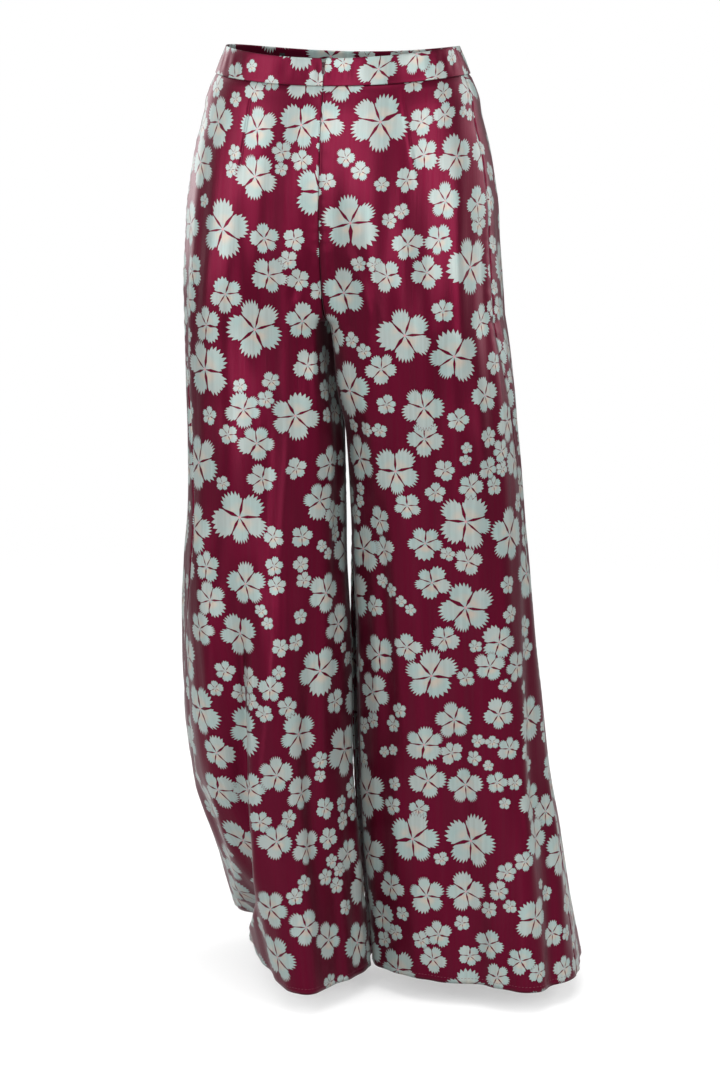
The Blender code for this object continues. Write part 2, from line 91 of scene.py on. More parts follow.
# One row for each level of the outline. drop is the length down from the waist. x and y are
# where the loop's middle lies, and inner, outer, back and front how far it reaches from there.
# turn turns the loop about its middle, in degrees, and tilt lets its outer back corner stand
# out. square and inner_square are the superellipse's powers, 2 for an ellipse. inseam and side
# are the seams' places, as degrees round the loop from its outer side (0) over its back (90).
COLUMNS = (
    "drop", "x", "y", "inner", "outer", "back", "front", "turn", "tilt", "square", "inner_square",
    "inseam", "side",
)
HIPS = (
    (0.000, 0.0000, 0.000, 0.400, 0.1280, 0.0920, 0.0880, 0, 0.00, 2.00, 2.00, 180, 10),
    (0.029, 0.0000, 0.000, 0.400, 0.1400, 0.0980, 0.0925, 0, 0.00, 2.05, 2.05, 180, 10),
    (0.060, 0.0000, 0.000, 0.400, 0.1515, 0.1085, 0.0960, 0, 0.00, 2.10, 2.10, 180, 12),
    (0.100, 0.0080, 0.000, 0.400, 0.1535, 0.1165, 0.0985, 0, 0.00, 2.12, 2.15, 180, 13),
    (0.150, 0.0250, 0.000, 0.290, 0.1455, 0.1205, 0.1000, 0, 0.00, 2.15, 2.25, 180, 14),
    (0.200, 0.0480, 0.000, 0.179, 0.1255, 0.1200, 0.1000, 0, 0.00, 2.20, 2.50, 180, 15),
)
LEGS = {
    LEFT: (
        (0.235, 0.0660, 0.000, 0.1272, 0.1090, 0.1180, 0.1000, 0, 0.00, 2.26, 2.80, 180, 16),
        (0.260, 0.0755, 0.000, 0.1037, 0.0990, 0.1160, 0.1000, 0, 0.00, 2.32, 3.60, 180, 17),
        (0.275, 0.0800, 0.000, 0.0907, 0.0938, 0.1148, 0.1000, 0, 0.00, 2.36, 4.40, 180, 18),
        (0.285, 0.0825, 0.000, 0.0825, 0.0908, 0.1140, 0.1001, 0, 0.00, 2.40, 5.20, 180, 19),
        (0.360, 0.0885, 0.006, 0.0840, 0.0842, 0.1085, 0.1030, 6, 0.00, 2.40, 4.80, 180, 28),
        (0.411, 0.0850, 0.010, 0.0860, 0.0870, 0.1058, 0.1040, 10, 0.05, 2.40, 3.80, 180, 28),
        (0.500, 0.0825, 0.014, 0.0875, 0.0900, 0.1040, 0.1060, 13, 0.10, 2.40, 2.60, 180, 28),
        (0.560, 0.0845, 0.016, 0.0900, 0.0920, 0.1040, 0.1090, 16, 0.14, 2.40, 2.40, 176, 24),
        (0.600, 0.0860, 0.016, 0.0920, 0.0920, 0.1060, 0.1110, 19, 0.16, 2.40, 2.40, 172, 14),
        (0.650, 0.0875, 0.015, 0.0935, 0.0900, 0.1080, 0.1150, 22, 0.18, 2.40, 2.40, 168, 0),
        (0.720, 0.0880, 0.010, 0.0930, 0.0890, 0.1120, 0.1220, 24, 0.22, 2.40, 2.40, 162, -14),
        (0.800, 0.0845, 0.000, 0.0875, 0.0885, 0.1170, 0.1290, 25, 0.25, 2.45, 2.45, 156, -26),
        (0.880, 0.0760, -0.013, 0.0830, 0.0800, 0.1240, 0.1340, 26, 0.28, 2.50, 2.50, 150, -36),
        (0.960, 0.0665, -0.027, 0.0755, 0.0715, 0.1310, 0.1380, 27, 0.30, 2.55, 2.55, 147, -43),
        (1.038, 0.0620, -0.039, 0.0750, 0.0600, 0.1370, 0.1410, 27, 0.32, 2.60, 2.60, 145, -48),
    ),
    RIGHT: (
        (0.235, 0.0660, 0.000, 0.1272, 0.1100, 0.1180, 0.1000, 0, 0.00, 2.26, 2.80, 180, 16),
        (0.260, 0.0755, 0.000, 0.1037, 0.1020, 0.1160, 0.1000, 0, 0.00, 2.32, 3.50, 180, 16),
        (0.275, 0.0800, 0.000, 0.0907, 0.0983, 0.1148, 0.1000, 0, 0.00, 2.36, 4.10, 180, 16),
        (0.285, 0.0825, 0.000, 0.0825, 0.0965, 0.1140, 0.1001, 0, 0.00, 2.40, 4.60, 180, 16),
        (0.360, 0.0935, -0.004, 0.0930, 0.0960, 0.1085, 0.1020, 4, 0.00, 2.45, 3.50, 180, 15),
        (0.411, 0.1000, -0.008, 0.0945, 0.0935, 0.1062, 0.1040, 7, 0.05, 2.50, 2.60, 180, 14),
        (0.500, 0.1055, -0.014, 0.0965, 0.0945, 0.1040, 0.1040, 11, 0.10, 2.50, 2.50, 180, 14),
        (0.560, 0.1075, -0.019, 0.1000, 0.0975, 0.1020, 0.1040, 14, 0.14, 2.50, 2.50, 180, 14),
        (0.650, 0.1100, -0.027, 0.1040, 0.1020, 0.1000, 0.1020, 17, 0.20, 2.50, 2.50, 180, 13),
        (0.720, 0.1120, -0.032, 0.1060, 0.1070, 0.0970, 0.1000, 17, 0.24, 2.50, 2.50, 180, 12),
        (0.800, 0.1160, -0.037, 0.1090, 0.1105, 0.0930, 0.0980, 15, 0.28, 2.50, 2.50, 180, 11),
        (0.880, 0.1265, -0.040, 0.1155, 0.1145, 0.0890, 0.0950, 12, 0.32, 2.55, 2.55, 180, 10),
        (0.960, 0.1380, -0.042, 0.1200, 0.1160, 0.0850, 0.0920, 8, 0.35, 2.60, 2.60, 180, 10),
        (1.038, 0.1515, -0.042, 0.1290, 0.1160, 0.0810, 0.0900, 4, 0.38, 2.60, 2.60, 180, 10),
    ),
}

# One row for each fold of the cloth: the leg, its place round the loop where it starts and at
# the hem, in degrees, the drops where it starts and where it is at its full depth, half its
# width, and its depth. A depth below 0 is a trough, and one above 0 is a ridge.
FOLD_COLUMNS = ("leg", "angle_top", "angle_hem", "starts", "full", "half_width", "depth")
FOLD_ROWS = (
    (LEFT, 75, -8, 0.40, 0.74, 0.042, -0.034),
    (LEFT, 36, -42, 0.42, 0.80, 0.045, 0.005),
    (LEFT, 150, 146, 0.48, 0.66, 0.050, 0.006),
    (LEFT, 112, 100, 0.35, 0.80, 0.034, -0.006),
    (LEFT, -64, -72, 0.20, 0.80, 0.042, -0.012),
    (LEFT, -88, -92, 0.25, 0.80, 0.038, 0.009),
    (LEFT, -115, -113, 0.20, 0.75, 0.038, -0.010),
    (LEFT, -142, -142, 0.30, 0.80, 0.032, 0.006),
    (RIGHT, 172, 164, 0.48, 0.66, 0.050, -0.006),
    (RIGHT, 118, 112, 0.30, 0.80, 0.034, 0.005),
    (RIGHT, 92, 88, 0.36, 0.80, 0.034, -0.007),
    (RIGHT, 62, 60, 0.40, 0.85, 0.036, 0.005),
    (RIGHT, 34, 36, 0.45, 0.85, 0.036, -0.008),
    (RIGHT, -30, -32, 0.25, 0.80, 0.040, 0.008),
    (RIGHT, -62, -64, 0.22, 0.80, 0.042, -0.012),
    (RIGHT, -92, -94, 0.25, 0.80, 0.038, 0.009),
    (RIGHT, -124, -122, 0.25, 0.80, 0.038, -0.010),
    (RIGHT, -150, -150, 0.30, 0.80, 0.030, 0.005),
)

FOLDS = [dict(zip(FOLD_COLUMNS, row)) for row in FOLD_ROWS]
DEEPEST_FOLD = min(FOLDS, key=lambda fold: fold["depth"])

# Where the hem is lifted: its place round the loop, half its width in degrees, and its height.
HEM_LIFTS = {LEFT: (-30, 80, 0.034), RIGHT: (-40, 80, 0.004)}
HEM_LIFT_STARTS = 0.60

# The panels' grids of points.
HIP_DROPS = (
    0.045, 0.065, 0.090, 0.120, 0.150, 0.180, 0.205, 0.228, 0.248, 0.263, 0.274, 0.281, CROTCH,
)
LEG_ROWS = 22
OUTLINE_POINTS = 1441
# More points where each flat side of the loop begins and ends.
FLAT_POINTS = 60
# Each panel's columns by the side seam keep their width past the crotch, where the others fan
# out. The counts are of the fanned and the plain columns, and the length is the plain ones'.
# One column of the panel with the deepest fold runs along the bottom of that fold.
PANEL_COLUMNS = {
    (LEFT, "back"): (9, 21, 0.138),
    (LEFT, "front"): (7, 12, 0.205),
    (RIGHT, "back"): (7, 13, 0.138),
    (RIGHT, "front"): (7, 15, 0.205),
}
DEEP_FOLD_COLUMN = 20
# Of the fanned columns, INNER_COLUMNS lie past the loop's inner corner, which begins CORNER from
# its innermost place. They crowd towards the panel's edge by the power INNER_GRADING.
INNER_COLUMNS = 12
INNER_GRADING = 1.6
CORNER = 0.008
# The drops where the columns start to fan out, are fanned out in full, and are even again.
FAN_STARTS = 0.120
FAN_FULL = (0.255, 0.300)
FAN_ENDS = 0.620
# How far below the zip's end the centre back seam is closed.
SEAM_CLOSES = 0.020

# The notch between the ends of the band, the strips along the centre back, and the label, which
# starts LABEL_START from the centre back and shows LABEL_ABOVE the band's top edge.
NOTCH_DEPTH = 0.0125
NOTCH_HALF_WIDTH = 0.0030
TAPE_WIDTH = 0.012
TAPE_TOP = 0.0125
LABEL_START = 0.046
LABEL_WIDTH = 0.0060
LABEL_ABOVE = 0.0035
LABEL_BELOW = 0.0150

# The grain line that each panel's print hangs from, in degrees round the loop.
GRAIN_ANGLES = {"back": 95.0, "front": -90.0}
GRAIN_POINTS = 161

# Where each piece was cut from the printed cloth, in metres.
CUT_PLACES = {
    ("back", LEFT): (3.10, 1.30),
    ("back", RIGHT): (5.23, 2.01),
    ("front", LEFT): (7.47, 3.23),
    ("front", RIGHT): (9.69, 4.47),
    "waistband_back_left": (12.71, 6.03),
    "waistband_back_right": (13.81, 7.67),
    "waistband_front": (16.43, 8.49),
}

# Small creases on a panel's map, in metres: panel, side, the places across and down of both
# ends, half the width, and the depth. A depth below 0 is a trough. A crease fades in and out
# over CREASE_FADE of its length.
CREASE_FADE = 0.25
CREASES = (
    ("back", RIGHT, -0.082, 0.030, -0.106, 0.140, 0.0022, -0.0009),
    ("back", LEFT, 0.082, 0.030, 0.094, 0.140, 0.0022, -0.0009),
    ("back", RIGHT, -0.008, 0.200, -0.034, 0.305, 0.0100, -0.0022),
    ("back", RIGHT, -0.026, 0.195, -0.064, 0.290, 0.0120, 0.0014),
    ("back", LEFT, 0.008, 0.200, 0.034, 0.265, 0.0090, -0.0018),
    ("back", LEFT, 0.010, 0.220, 0.017, 0.350, 0.0120, -0.0024),
    ("back", RIGHT, -0.045, 0.400, -0.075, 0.880, 0.0220, -0.0040),
    ("back", RIGHT, -0.082, 0.430, -0.112, 0.860, 0.0200, 0.0030),
    ("back", LEFT, 0.050, 0.340, 0.060, 0.700, 0.0180, -0.0030),
    ("back", LEFT, 0.086, 0.300, 0.096, 0.620, 0.0200, 0.0024),
    ("front", RIGHT, -0.018, 0.110, -0.056, 0.245, 0.0120, -0.0016),
    ("front", LEFT, 0.016, 0.130, 0.050, 0.235, 0.0120, -0.0014),
    ("front", RIGHT, -0.070, 0.390, -0.082, 0.900, 0.0240, -0.0040),
    ("front", RIGHT, -0.116, 0.350, -0.131, 0.850, 0.0200, 0.0030),
    ("front", LEFT, 0.060, 0.380, 0.072, 0.920, 0.0220, -0.0035),
    ("front", LEFT, 0.102, 0.420, 0.119, 0.860, 0.0200, 0.0030),
)

# Soft unevenness of the hanging cloth: radians a metre across and down, a turn, and a height.
# It starts RIPPLES_START down the cloth and is full RIPPLES_GROW further down.
RIPPLES = (
    (118.0, 3.1, 0.4, 0.0009),
    (201.0, -7.3, 2.1, 0.0006),
    (67.0, 5.9, 4.0, 0.0010),
    (33.0, -11.0, 1.2, 0.0008),
)
RIPPLES_START = 0.03
RIPPLES_GROW = 0.25

# The dip of a sewn seam, the puckers beside it and along the band, and the groove under the
# band. A pucker's wave is its quick and slow radians a metre and how far the slow one sways it.
# Creases and ripples fade out over LOOSE_EDGE before a seam.
SEAM_DIP = -0.0007
SEAM_DIP_WIDTH = 0.0028
PUCKER_HEIGHT = 0.00035
PUCKER_WIDTH = 0.016
PUCKER_CLEAR = 0.003
PUCKER_WAVE = (420.0, 37.0, 3.0)
BAND_PUCKER_HEIGHT = 0.0003
BAND_PUCKER_WAVE = (310.0, 43.0, 4.0)
GROOVE_DEPTH = -0.0014
GROOVE_WIDTH = 0.0040
LOOSE_EDGE = 0.02

# The fine cloth: the height of a row, the fewest rows for one of the solid's, the columns for
# each of the solid's, and the rows of the hem's turned edge. Then the rows and columns of half
# the band's back or front, the roll of its edges, and the points across the strips and down
# them. LABEL_TOP_SHARES are the label's rows above the band, as shares of LABEL_ABOVE.
ROW_STEP = 0.0045
LEAST_PARTS = 4
FINE_COLUMNS = 5
TURN_UP_ROWS = 4
BAND_ROWS = 9
BAND_COLUMNS = 90
BAND_ROLL = 0.0007
BAND_ROLL_ANGLE = 50.0
STRIP_POINTS = 9
TAPE_POINTS = 60
LABEL_POINTS = 10
LABEL_TOP_SHARES = (1.0, 0.66, 0.33)

# The hem's stitches: their sides and rings, their spacing in stitch lengths, how far the first
# and last lie from the seams, and how far they stand proud, as a share of the thread's thickness.
STITCH_SIDES = 6
STITCH_RINGS = 4
STITCH_SPACING = 1.5
STITCH_CLEAR = 0.002
STITCH_PROUD = 0.3

# The cast metal: points nearer than METAL_WELD are one, METAL_ROUND is the round of its edges,
# faces less than METAL_FLAT degrees apart are one, and edges above METAL_SHARP are rounded.
METAL_WELD = 1e-6
METAL_ROUND = 0.00012
METAL_FLAT = 2.0
METAL_SHARP = 40.0

# The zip's coil: the height of a turn, its radius, its thread's thickness, and points in a turn.
COIL_PITCH = 0.0011
COIL_RADIUS = 0.0005
COIL_THREAD = 0.0003
COIL_POINTS = 8

# The print. SCATTER is how unevenly the flowers lie, and SPACINGS how far apart, in full radii. A
# flower's radius is ROOM_USED times the room it has. It is left out if that is less than
# LEAST_ROOM of its full radius, or if it lies nearer to a larger flower than LEAST_CLEAR of its
# own. TEETH are how many a petal's edge has, and how deep they are as a share of the radius.
SCATTER = 0.8
SPACINGS = {"Large": 2.10, "Medium": 1.95, "Small": 1.95}
ROOM_USED = 1.12
LEAST_ROOM = 0.48
LEAST_CLEAR = 0.38
LAYER_SHIFTS = {"Large": (1.7, 0.4, 0.0), "Medium": (0.9, 3.3, 0.0), "Small": (2.6, 1.1, 0.0)}
TEETH = {"Large": (9.0, 0.17), "Medium": (7.0, 0.16), "Small": (5.0, 0.12)}
# A flower's petals are unevenly spread by PETAL_LEAN and up to PETAL_UNEVEN shorter. Their
# sides fall back by SHOULDER at the power SHOULDER_POWER. SOFT_EDGE is the blur of an edge, and
# RIM the line of ground round a flower that lies on another, both in metres. There is no flower
# where the radius is below NO_RADIUS.
PETALS = 5.0
PETAL_LEAN = 0.20
PETAL_UNEVEN = 0.15
SHOULDER = 0.42
SHOULDER_POWER = 3.2
SOFT_EDGE = 0.00018
RIM = 0.0007
NO_RADIUS = 1e-4
# The slits between the petals and the flower's middle, as shares of its radius. BLUSH_FROM and
# BLUSH_TO are where the petals' soft spots rise and fall.
SLIT_WIDEST = 0.25
SLIT_ENDS = 0.80
SLIT_WIDTH = 0.055
SLIT_LEAST = 0.009
EYE_SHARE = 0.045
BLUSH_FROM = (0.10, 0.22)
BLUSH_TO = (0.58, 0.26)
BLUSH_STRENGTH = 0.65

# Blots on the petals: how many in a metre, and the tones where the blush and the cool colour
# rise from none to full. SEED_SPREAD keeps the flowers' random seeds apart.
SEED_SPREAD = 97.0
BLOT_SCALE = 55.0
BLUSH_TONES = (0.35, 0.65)
COOL_TONES = (0.2, 0.8)

# The print's inputs, each filled by the setting of the same name.
FLOWER_SIZES = ("Large", "Medium", "Small")
PETAL_COLOURS = ("Petal", "Cool Petal", "Blush", "Eye")
PRINT_INPUTS = {
    **{f"{word} Radius": "Float" for word in FLOWER_SIZES},
    **{word: "Color" for word in ("Ground", *PETAL_COLOURS)},
}

# The satin's threads, slubs and soft shades: how many there are in a metre across and down. The soft
# shades are painted shade of the hanging cloth's soft upright ripples. The slubs make up SLUB_SHARE of
# the relief. The darker streaks, partly the slubs' own tone and partly that painted shade, are none to
# full between STREAK_TONES.
THREADS = (1400.0, 60.0)
SLUBS = (260.0, 9.0)
SHADES = (38.0, 3.5)
SLUB_SHARE = 0.6
STREAK_TONES = (0.62, 0.38)

# Each kind of finish: the strength and the height of its relief, and how far its roughness follows its
# tone. A weave is turned by WEAVE_TURN, in radians, and the low places between its threads have
# WEAVE_DARK of its colour, as painted shade. Worn blotches are none to full between WORN_TONES.
RELIEF = {"satin": (0.35, 0.0004), "woven": (0.5, 0.0002), "worn": (0.15, 0.0001)}
GLOSS_SWING = {"satin": 0.25, "woven": -0.1, "worn": 0.12}
WEAVE_TURN = 0.6
WEAVE_DARK = 0.55
WORN_TONES = (0.35, 0.7)

THREAD = (0.110, 0.010, 0.030, 1.0)
THREAD_LIGHT = (0.200, 0.030, 0.060, 1.0)
TAPE_COLOUR = (0.085, 0.006, 0.022, 1.0)
# The zip's painted metal: its burgundy paint, darkened further as painted shade of the notch where the
# slider and tab sit, with its lighter blotch colour.
SHADED_ENAMEL = (0.030, 0.003, 0.009, 1.0)
SHADED_ENAMEL_LIGHT = (0.060, 0.005, 0.016, 1.0)
LABEL_COLOUR = (0.006, 0.006, 0.007, 1.0)

# The camera stands behind the garment, a little to the wearer's right, and looks down. Its
# angles are in degrees, and its lens and sensor in millimetres.
CAMERA_PLACE = (-0.7255, 3.3218, 0.14)
CAMERA_HEADING = 12.0
CAMERA_PITCH = 11.28
CAMERA_LENS = 103.1
CAMERA_SENSOR = 36.0
CAMERA_REACH = 100.0

# The pale floor fades out towards its edge, from FLOOR_CLEAR of its radius.
FLOOR_RADIUS = 2.6
FLOOR_SIDES = 128
FLOOR_CLEAR = 0.3
PAPER = (0.55, 0.55, 0.55, 1.0)
PAPER_LIGHT = (0.58, 0.58, 0.58, 1.0)
WHITE = (1.0, 1.0, 1.0, 1.0)

# The soft lights, by the setting that holds their power: the point that they face, their width
# and height, and the place of each. The key lights stand behind the garment, the fills in front
# of it, and the low one behind its hems.
LIGHTS = {
    "key": (
        (0.0, 0.0, -0.1),
        (2.0, 2.5),
        {"Key": (0.1, 3.4, 0.98), "Left key": (2.9, 1.7, 0.85), "Right key": (-2.9, 1.7, 0.85)},
    ),
    "fill": (
        (0.0, 0.0, -0.4),
        (1.8, 2.2),
        {"Left fill": (2.5, -2.0, 0.6), "Right fill": (-2.5, -2.0, 0.6)},
    ),
    "low": ((0.0, 0.0, -0.5), (1.2, 0.5), {"Low fill": (-0.3, 3.7, -0.72)}),
}
# The broad light from above: the way it shines, and how wide it is, in radians.
CEILING_AIM = (0.08, -0.34, -1.0)
CEILING_ANGLE = 0.6


def ease(value):
    """0 below 0, 1 above 1, and smooth between them."""
    value = np.clip(value, 0.0, 1.0)
    return value * value * (3.0 - 2.0 * value)


def bump(value):
    """1 at 0, falling smoothly to 0 at -1 and 1."""
    return np.cos(np.clip(value, -1.0, 1.0) * math.pi / 2.0) ** 2


def signed_power(values, power):
    """Raise the size of each value to a power and keep its sign."""
    return np.sign(values) * np.abs(values) ** power


def slopes(levels, rows):
    """The slope of each column at each level, so that no column overshoots between its rows."""
    steps = np.diff(levels)[:, None]
    rises = np.diff(rows, axis=0) / steps
    result = np.zeros_like(rows)
    result[0] = rises[0]
    result[-1] = rises[-1]
    for i in range(1, len(levels) - 1):
        near = 2.0 * steps[i] + steps[i - 1]
        far = steps[i] + 2.0 * steps[i - 1]
        product = rises[i - 1] * rises[i]
        same_way = product > 0.0
        mixed = near * rises[i] + far * rises[i - 1]
        blended = (near + far) * product / np.where(same_way, mixed, 1.0)
        result[i] = np.where(same_way, blended, 0.0)
    return result


def leg_table(side):
    """The levels, values and slopes of one half of the garment."""
    rows = np.array(HIPS + LEGS[side], dtype=float)
    return rows[:, 0], rows[:, 1:], slopes(rows[:, 0], rows[:, 1:])


TABLES = {side: leg_table(side) for side in (LEFT, RIGHT)}


def level(side, drop):
    """The outline's named values at any drop, read smoothly between the table's rows."""
    levels, rows, rates = TABLES[side]
    i = int(np.clip(np.searchsorted(levels, drop) - 1, 0, len(levels) - 2))
    step = levels[i + 1] - levels[i]
    t = (drop - levels[i]) / step
    start = (2 * t**3 - 3 * t**2 + 1) * rows[i] + (t**3 - 2 * t**2 + t) * step * rates[i]
    end = (3 * t**2 - 2 * t**3) * rows[i + 1] + (t**3 - t**2) * step * rates[i + 1]
    return dict(zip(COLUMNS[1:], start + end))


def lengths(points):
    """The length along a line of points, at each of them."""
    return np.concatenate([[0.0], np.cumsum(np.linalg.norm(np.diff(points, axis=0), axis=1))])


def outward(points, side):
    """The unit normals in plan of an outline that runs from the back to the front."""
    along = np.gradient(points, axis=0)
    normals = np.stack([-along[:, 1], along[:, 0]], axis=1) * side
    return normals / np.linalg.norm(normals, axis=1)[:, None]


def fold_angle(fold, drop):
    """A fold's place round the loop at a drop, in radians. It turns faster towards the hem."""
    reach = max(0.0, (drop - fold["starts"]) / (HEM - fold["starts"]))
    return math.radians(fold["angle_top"] + (fold["angle_hem"] - fold["angle_top"]) * reach**2)


def fold_offsets(side, drop, angles, along):
    """How far the folds push the cloth out or in at each point of an outline."""
    total = np.zeros_like(along)
    for fold in FOLDS:
        if fold["leg"] != side or drop <= fold["starts"]:
            continue
        centre = np.interp(-fold_angle(fold, drop), -angles, along)
        growth = ease((drop - fold["starts"]) / (fold["full"] - fold["starts"]))
        total += fold["depth"] * growth * bump((along - centre) / fold["half_width"])
    return total


def loop_angles(first, last, square, inner_square):
    """Falling angles round a loop, with more of them where its flat sides begin."""
    found = [np.linspace(first, last, OUTLINE_POINTS), np.radians(list(GRAIN_ANGLES.values()))]
    for power, middle in ((square, 0.0), (inner_square, math.pi)):
        turns = np.arcsin(np.linspace(0.0, 1.0, FLAT_POINTS) ** (power / 2.0))
        for turn in (turns, math.pi / 2.0 - turns):
            found += [middle + turn, middle - turn]
    angles = np.concatenate(found)
    angles = np.where(angles > first, angles - 2.0 * math.pi, angles)
    return np.unique(np.round(angles[angles >= last], 7))[::-1]


class Outline:
    """One half of the garment at one drop, from its centre back or inseam round to its front."""

    def __init__(self, side, drop):
        self.side = side
        self.drop = drop
        values = level(side, drop)
        if drop < CROTCH:
            share = min(1.0, values["x"] / values["inner"])
            first = math.pi - math.acos(share ** (values["inner_square"] / 2.0))
            last = -first
        else:
            first = math.radians(values["inseam"])
            last = first - 2.0 * math.pi
        reach = max(0.0, min(values["x"], values["inner"]) - CORNER) / values["inner"]
        self.corner = math.pi - math.acos(reach ** (values["inner_square"] / 2.0))
        angles = loop_angles(first, last, values["square"], values["inner_square"])
        powers = 2.0 / np.where(np.cos(angles) > 0.0, values["square"], values["inner_square"])
        cosines = signed_power(np.cos(angles), powers)
        sines = signed_power(np.sin(angles), powers)
        across = np.where(cosines > 0.0, values["outer"], values["inner"]) * cosines
        back = values["back"] * (1.0 + values["tilt"] * cosines)
        deep = np.where(sines > 0.0, back, values["front"]) * sines
        turn = math.radians(values["turn"])
        x = side * (values["x"] + across * math.cos(turn)) - deep * math.sin(turn)
        y = values["y"] + side * across * math.sin(turn) + deep * math.cos(turn)
        plain = np.stack([x, y], axis=1)
        offsets = fold_offsets(side, drop, angles, lengths(plain))
        self.points = plain + outward(plain, side) * offsets[:, None]
        self.normals = outward(self.points, side)
        self.angles = angles
        self.along = lengths(self.points)
        self.side_seam = float(np.interp(-math.radians(values["side"]), -angles, self.along))
        self.length = float(self.along[-1])

    def height(self, angles):
        """Z of the points at the given angles: the band's rise at the hips and the hem's lift."""
        place, half_width, lift = HEM_LIFTS[self.side]
        rise = SIDE_RISE * np.cos(angles) ** 2 * (1.0 - ease(self.drop / SIDE_RISE_ENDS))
        lifted = lift * bump((np.degrees(angles) - place) / half_width)
        return rise - self.drop + lifted * ease((self.drop - HEM_LIFT_STARTS) / (HEM - HEM_LIFT_STARTS))

    def read(self, places):
        """Points in space and plan normals at lengths along the outline."""
        angles = np.interp(places, self.along, self.angles)
        points = [np.interp(places, self.along, self.points[:, axis]) for axis in (0, 1)]
        normals = [np.interp(places, self.along, self.normals[:, axis]) for axis in (0, 1)]
        return np.stack(points + [self.height(angles)], axis=1), np.stack(normals, axis=1)


def spans(outline, panel, columns, edge):
    """Lengths along the outline at evenly spaced columns of a panel, clear of its seams."""
    if panel == "back":
        return np.linspace(edge, outline.side_seam - CLOSED_GAP / 2.0, columns + 1)
    return np.linspace(outline.side_seam + CLOSED_GAP / 2.0, outline.length - edge, columns + 1)


def fanned_spans(outline, panel):
    """Lengths along the outline at a leg panel's columns, which fan out by the crotch."""
    fanned, plain, plain_length = PANEL_COLUMNS[outline.side, panel]
    fanned, plain = fanned * FINE_COLUMNS, plain * FINE_COLUMNS
    closed = ease((outline.drop - ZIP_END) / SEAM_CLOSES) if panel == "back" else 1.0
    gap = SEAM_GAP + (CLOSED_GAP - SEAM_GAP) * closed
    even = spans(outline, panel, fanned + plain, gap / 2.0)
    seam, edge = (even[-1], even[0]) if panel == "back" else (even[0], even[-1])
    above = ease((outline.drop - FAN_STARTS) / (FAN_FULL[0] - FAN_STARTS))
    below = ease((outline.drop - FAN_FULL[1]) / (FAN_ENDS - FAN_FULL[1]))
    way = math.copysign(1.0, edge - seam)
    bend = seam + way * plain_length
    corner = outline.corner if panel == "back" else -outline.corner
    corner = np.interp(-corner, -outline.angles, outline.along)
    by_seam = np.linspace(seam, bend, plain + 1)
    by_corner = np.linspace(bend, corner, fanned - INNER_COLUMNS + 1)
    by_edge = corner + (edge - corner) * np.linspace(0.0, 1.0, INNER_COLUMNS + 1) ** INNER_GRADING
    uneven = np.sort(np.concatenate([by_seam, by_corner[1:], by_edge[1:]]))
    places = even + (uneven - even) * above * (1.0 - below)
    if (outline.side, panel) == (DEEPEST_FOLD["leg"], "back"):
        bottom = np.interp(-fold_angle(DEEPEST_FOLD, outline.drop), -outline.angles, outline.along)
        old = places[DEEP_FOLD_COLUMN * FINE_COLUMNS]
        new = old + (bottom - old) * ease(2.0 * (outline.drop / DEEPEST_FOLD["starts"] - 1.0))
        places = np.interp(places, (places[0], old, places[-1]), (places[0], new, places[-1]))
    return places


def grain_line(side, panel):
    """Drops, places across and lengths down the cloth along a panel's grain line."""
    drops = np.linspace(0.0, HEM, GRAIN_POINTS)
    angle = math.radians(GRAIN_ANGLES[panel])
    places = []
    for drop in drops:
        outline = Outline(side, drop)
        along = np.interp(-angle, -outline.angles, outline.along)
        places.append(outline.read(np.array([along]))[0][0])
    places = np.array(places)
    return drops, places[:, 0], lengths(places[:, 1:])


GRAINS = {(side, panel): grain_line(side, panel) for side in SIDES.values() for panel in GRAIN_ANGLES}


def cloth_map(outline, panel, places):
    """The places across and down the cloth of lengths along an outline."""
    drops, across, down = GRAINS[outline.side, panel]
    along = np.interp(-math.radians(GRAIN_ANGLES[panel]), -outline.angles, outline.along)
    way = outline.side if panel == "back" else -outline.side
    u = np.interp(outline.drop, drops, across) + way * (places - along)
    return np.stack([u, np.full_like(u, np.interp(outline.drop, drops, down))], axis=1)


def crease_offsets(side, panel, places):
    """How far the small creases push the cloth out at places of its map."""
    total = np.zeros(places.shape[:-1])
    for crease_panel, crease_side, u1, v1, u2, v2, half_width, depth in CREASES:
        if (crease_panel, crease_side) != (panel, side):
            continue
        start = np.array([u1, v1])
        line = np.array([u2, v2]) - start
        share = np.clip(np.sum((places - start) * line, axis=-1) / np.sum(line * line), 0.0, 1.0)
        away = np.linalg.norm(places - start - share[..., None] * line, axis=-1)
        ends = ease(share / CREASE_FADE) * ease((1.0 - share) / CREASE_FADE)
        total += depth * ends * bump(away / half_width)
    return total


def ripple_offsets(places):
    """The soft, mostly upright unevenness of hanging cloth."""
    u, v = places[..., 0], places[..., 1]
    total = np.zeros_like(u)
    for across, down, turn, height in RIPPLES:
        total += height * np.sin(across * u + down * v + turn)
    return total * ease((v - RIPPLES_START) / RIPPLES_GROW)


def pucker_wave(along, wave):
    """An uneven wave from -1 to 1 at lengths along a seam."""
    quick, slow, sway = wave
    return np.sin(along * quick + sway * np.sin(along * slow))


def seam_offsets(down, edges):
    """The dip of the cloth into a sewn seam, and its small puckers beside it."""
    dip = SEAM_DIP * bump(edges / SEAM_DIP_WIDTH)
    puckers = PUCKER_HEIGHT * pucker_wave(down, PUCKER_WAVE) * bump(edges / PUCKER_WIDTH)
    return dip + puckers * (1.0 - bump(edges / PUCKER_CLEAR))


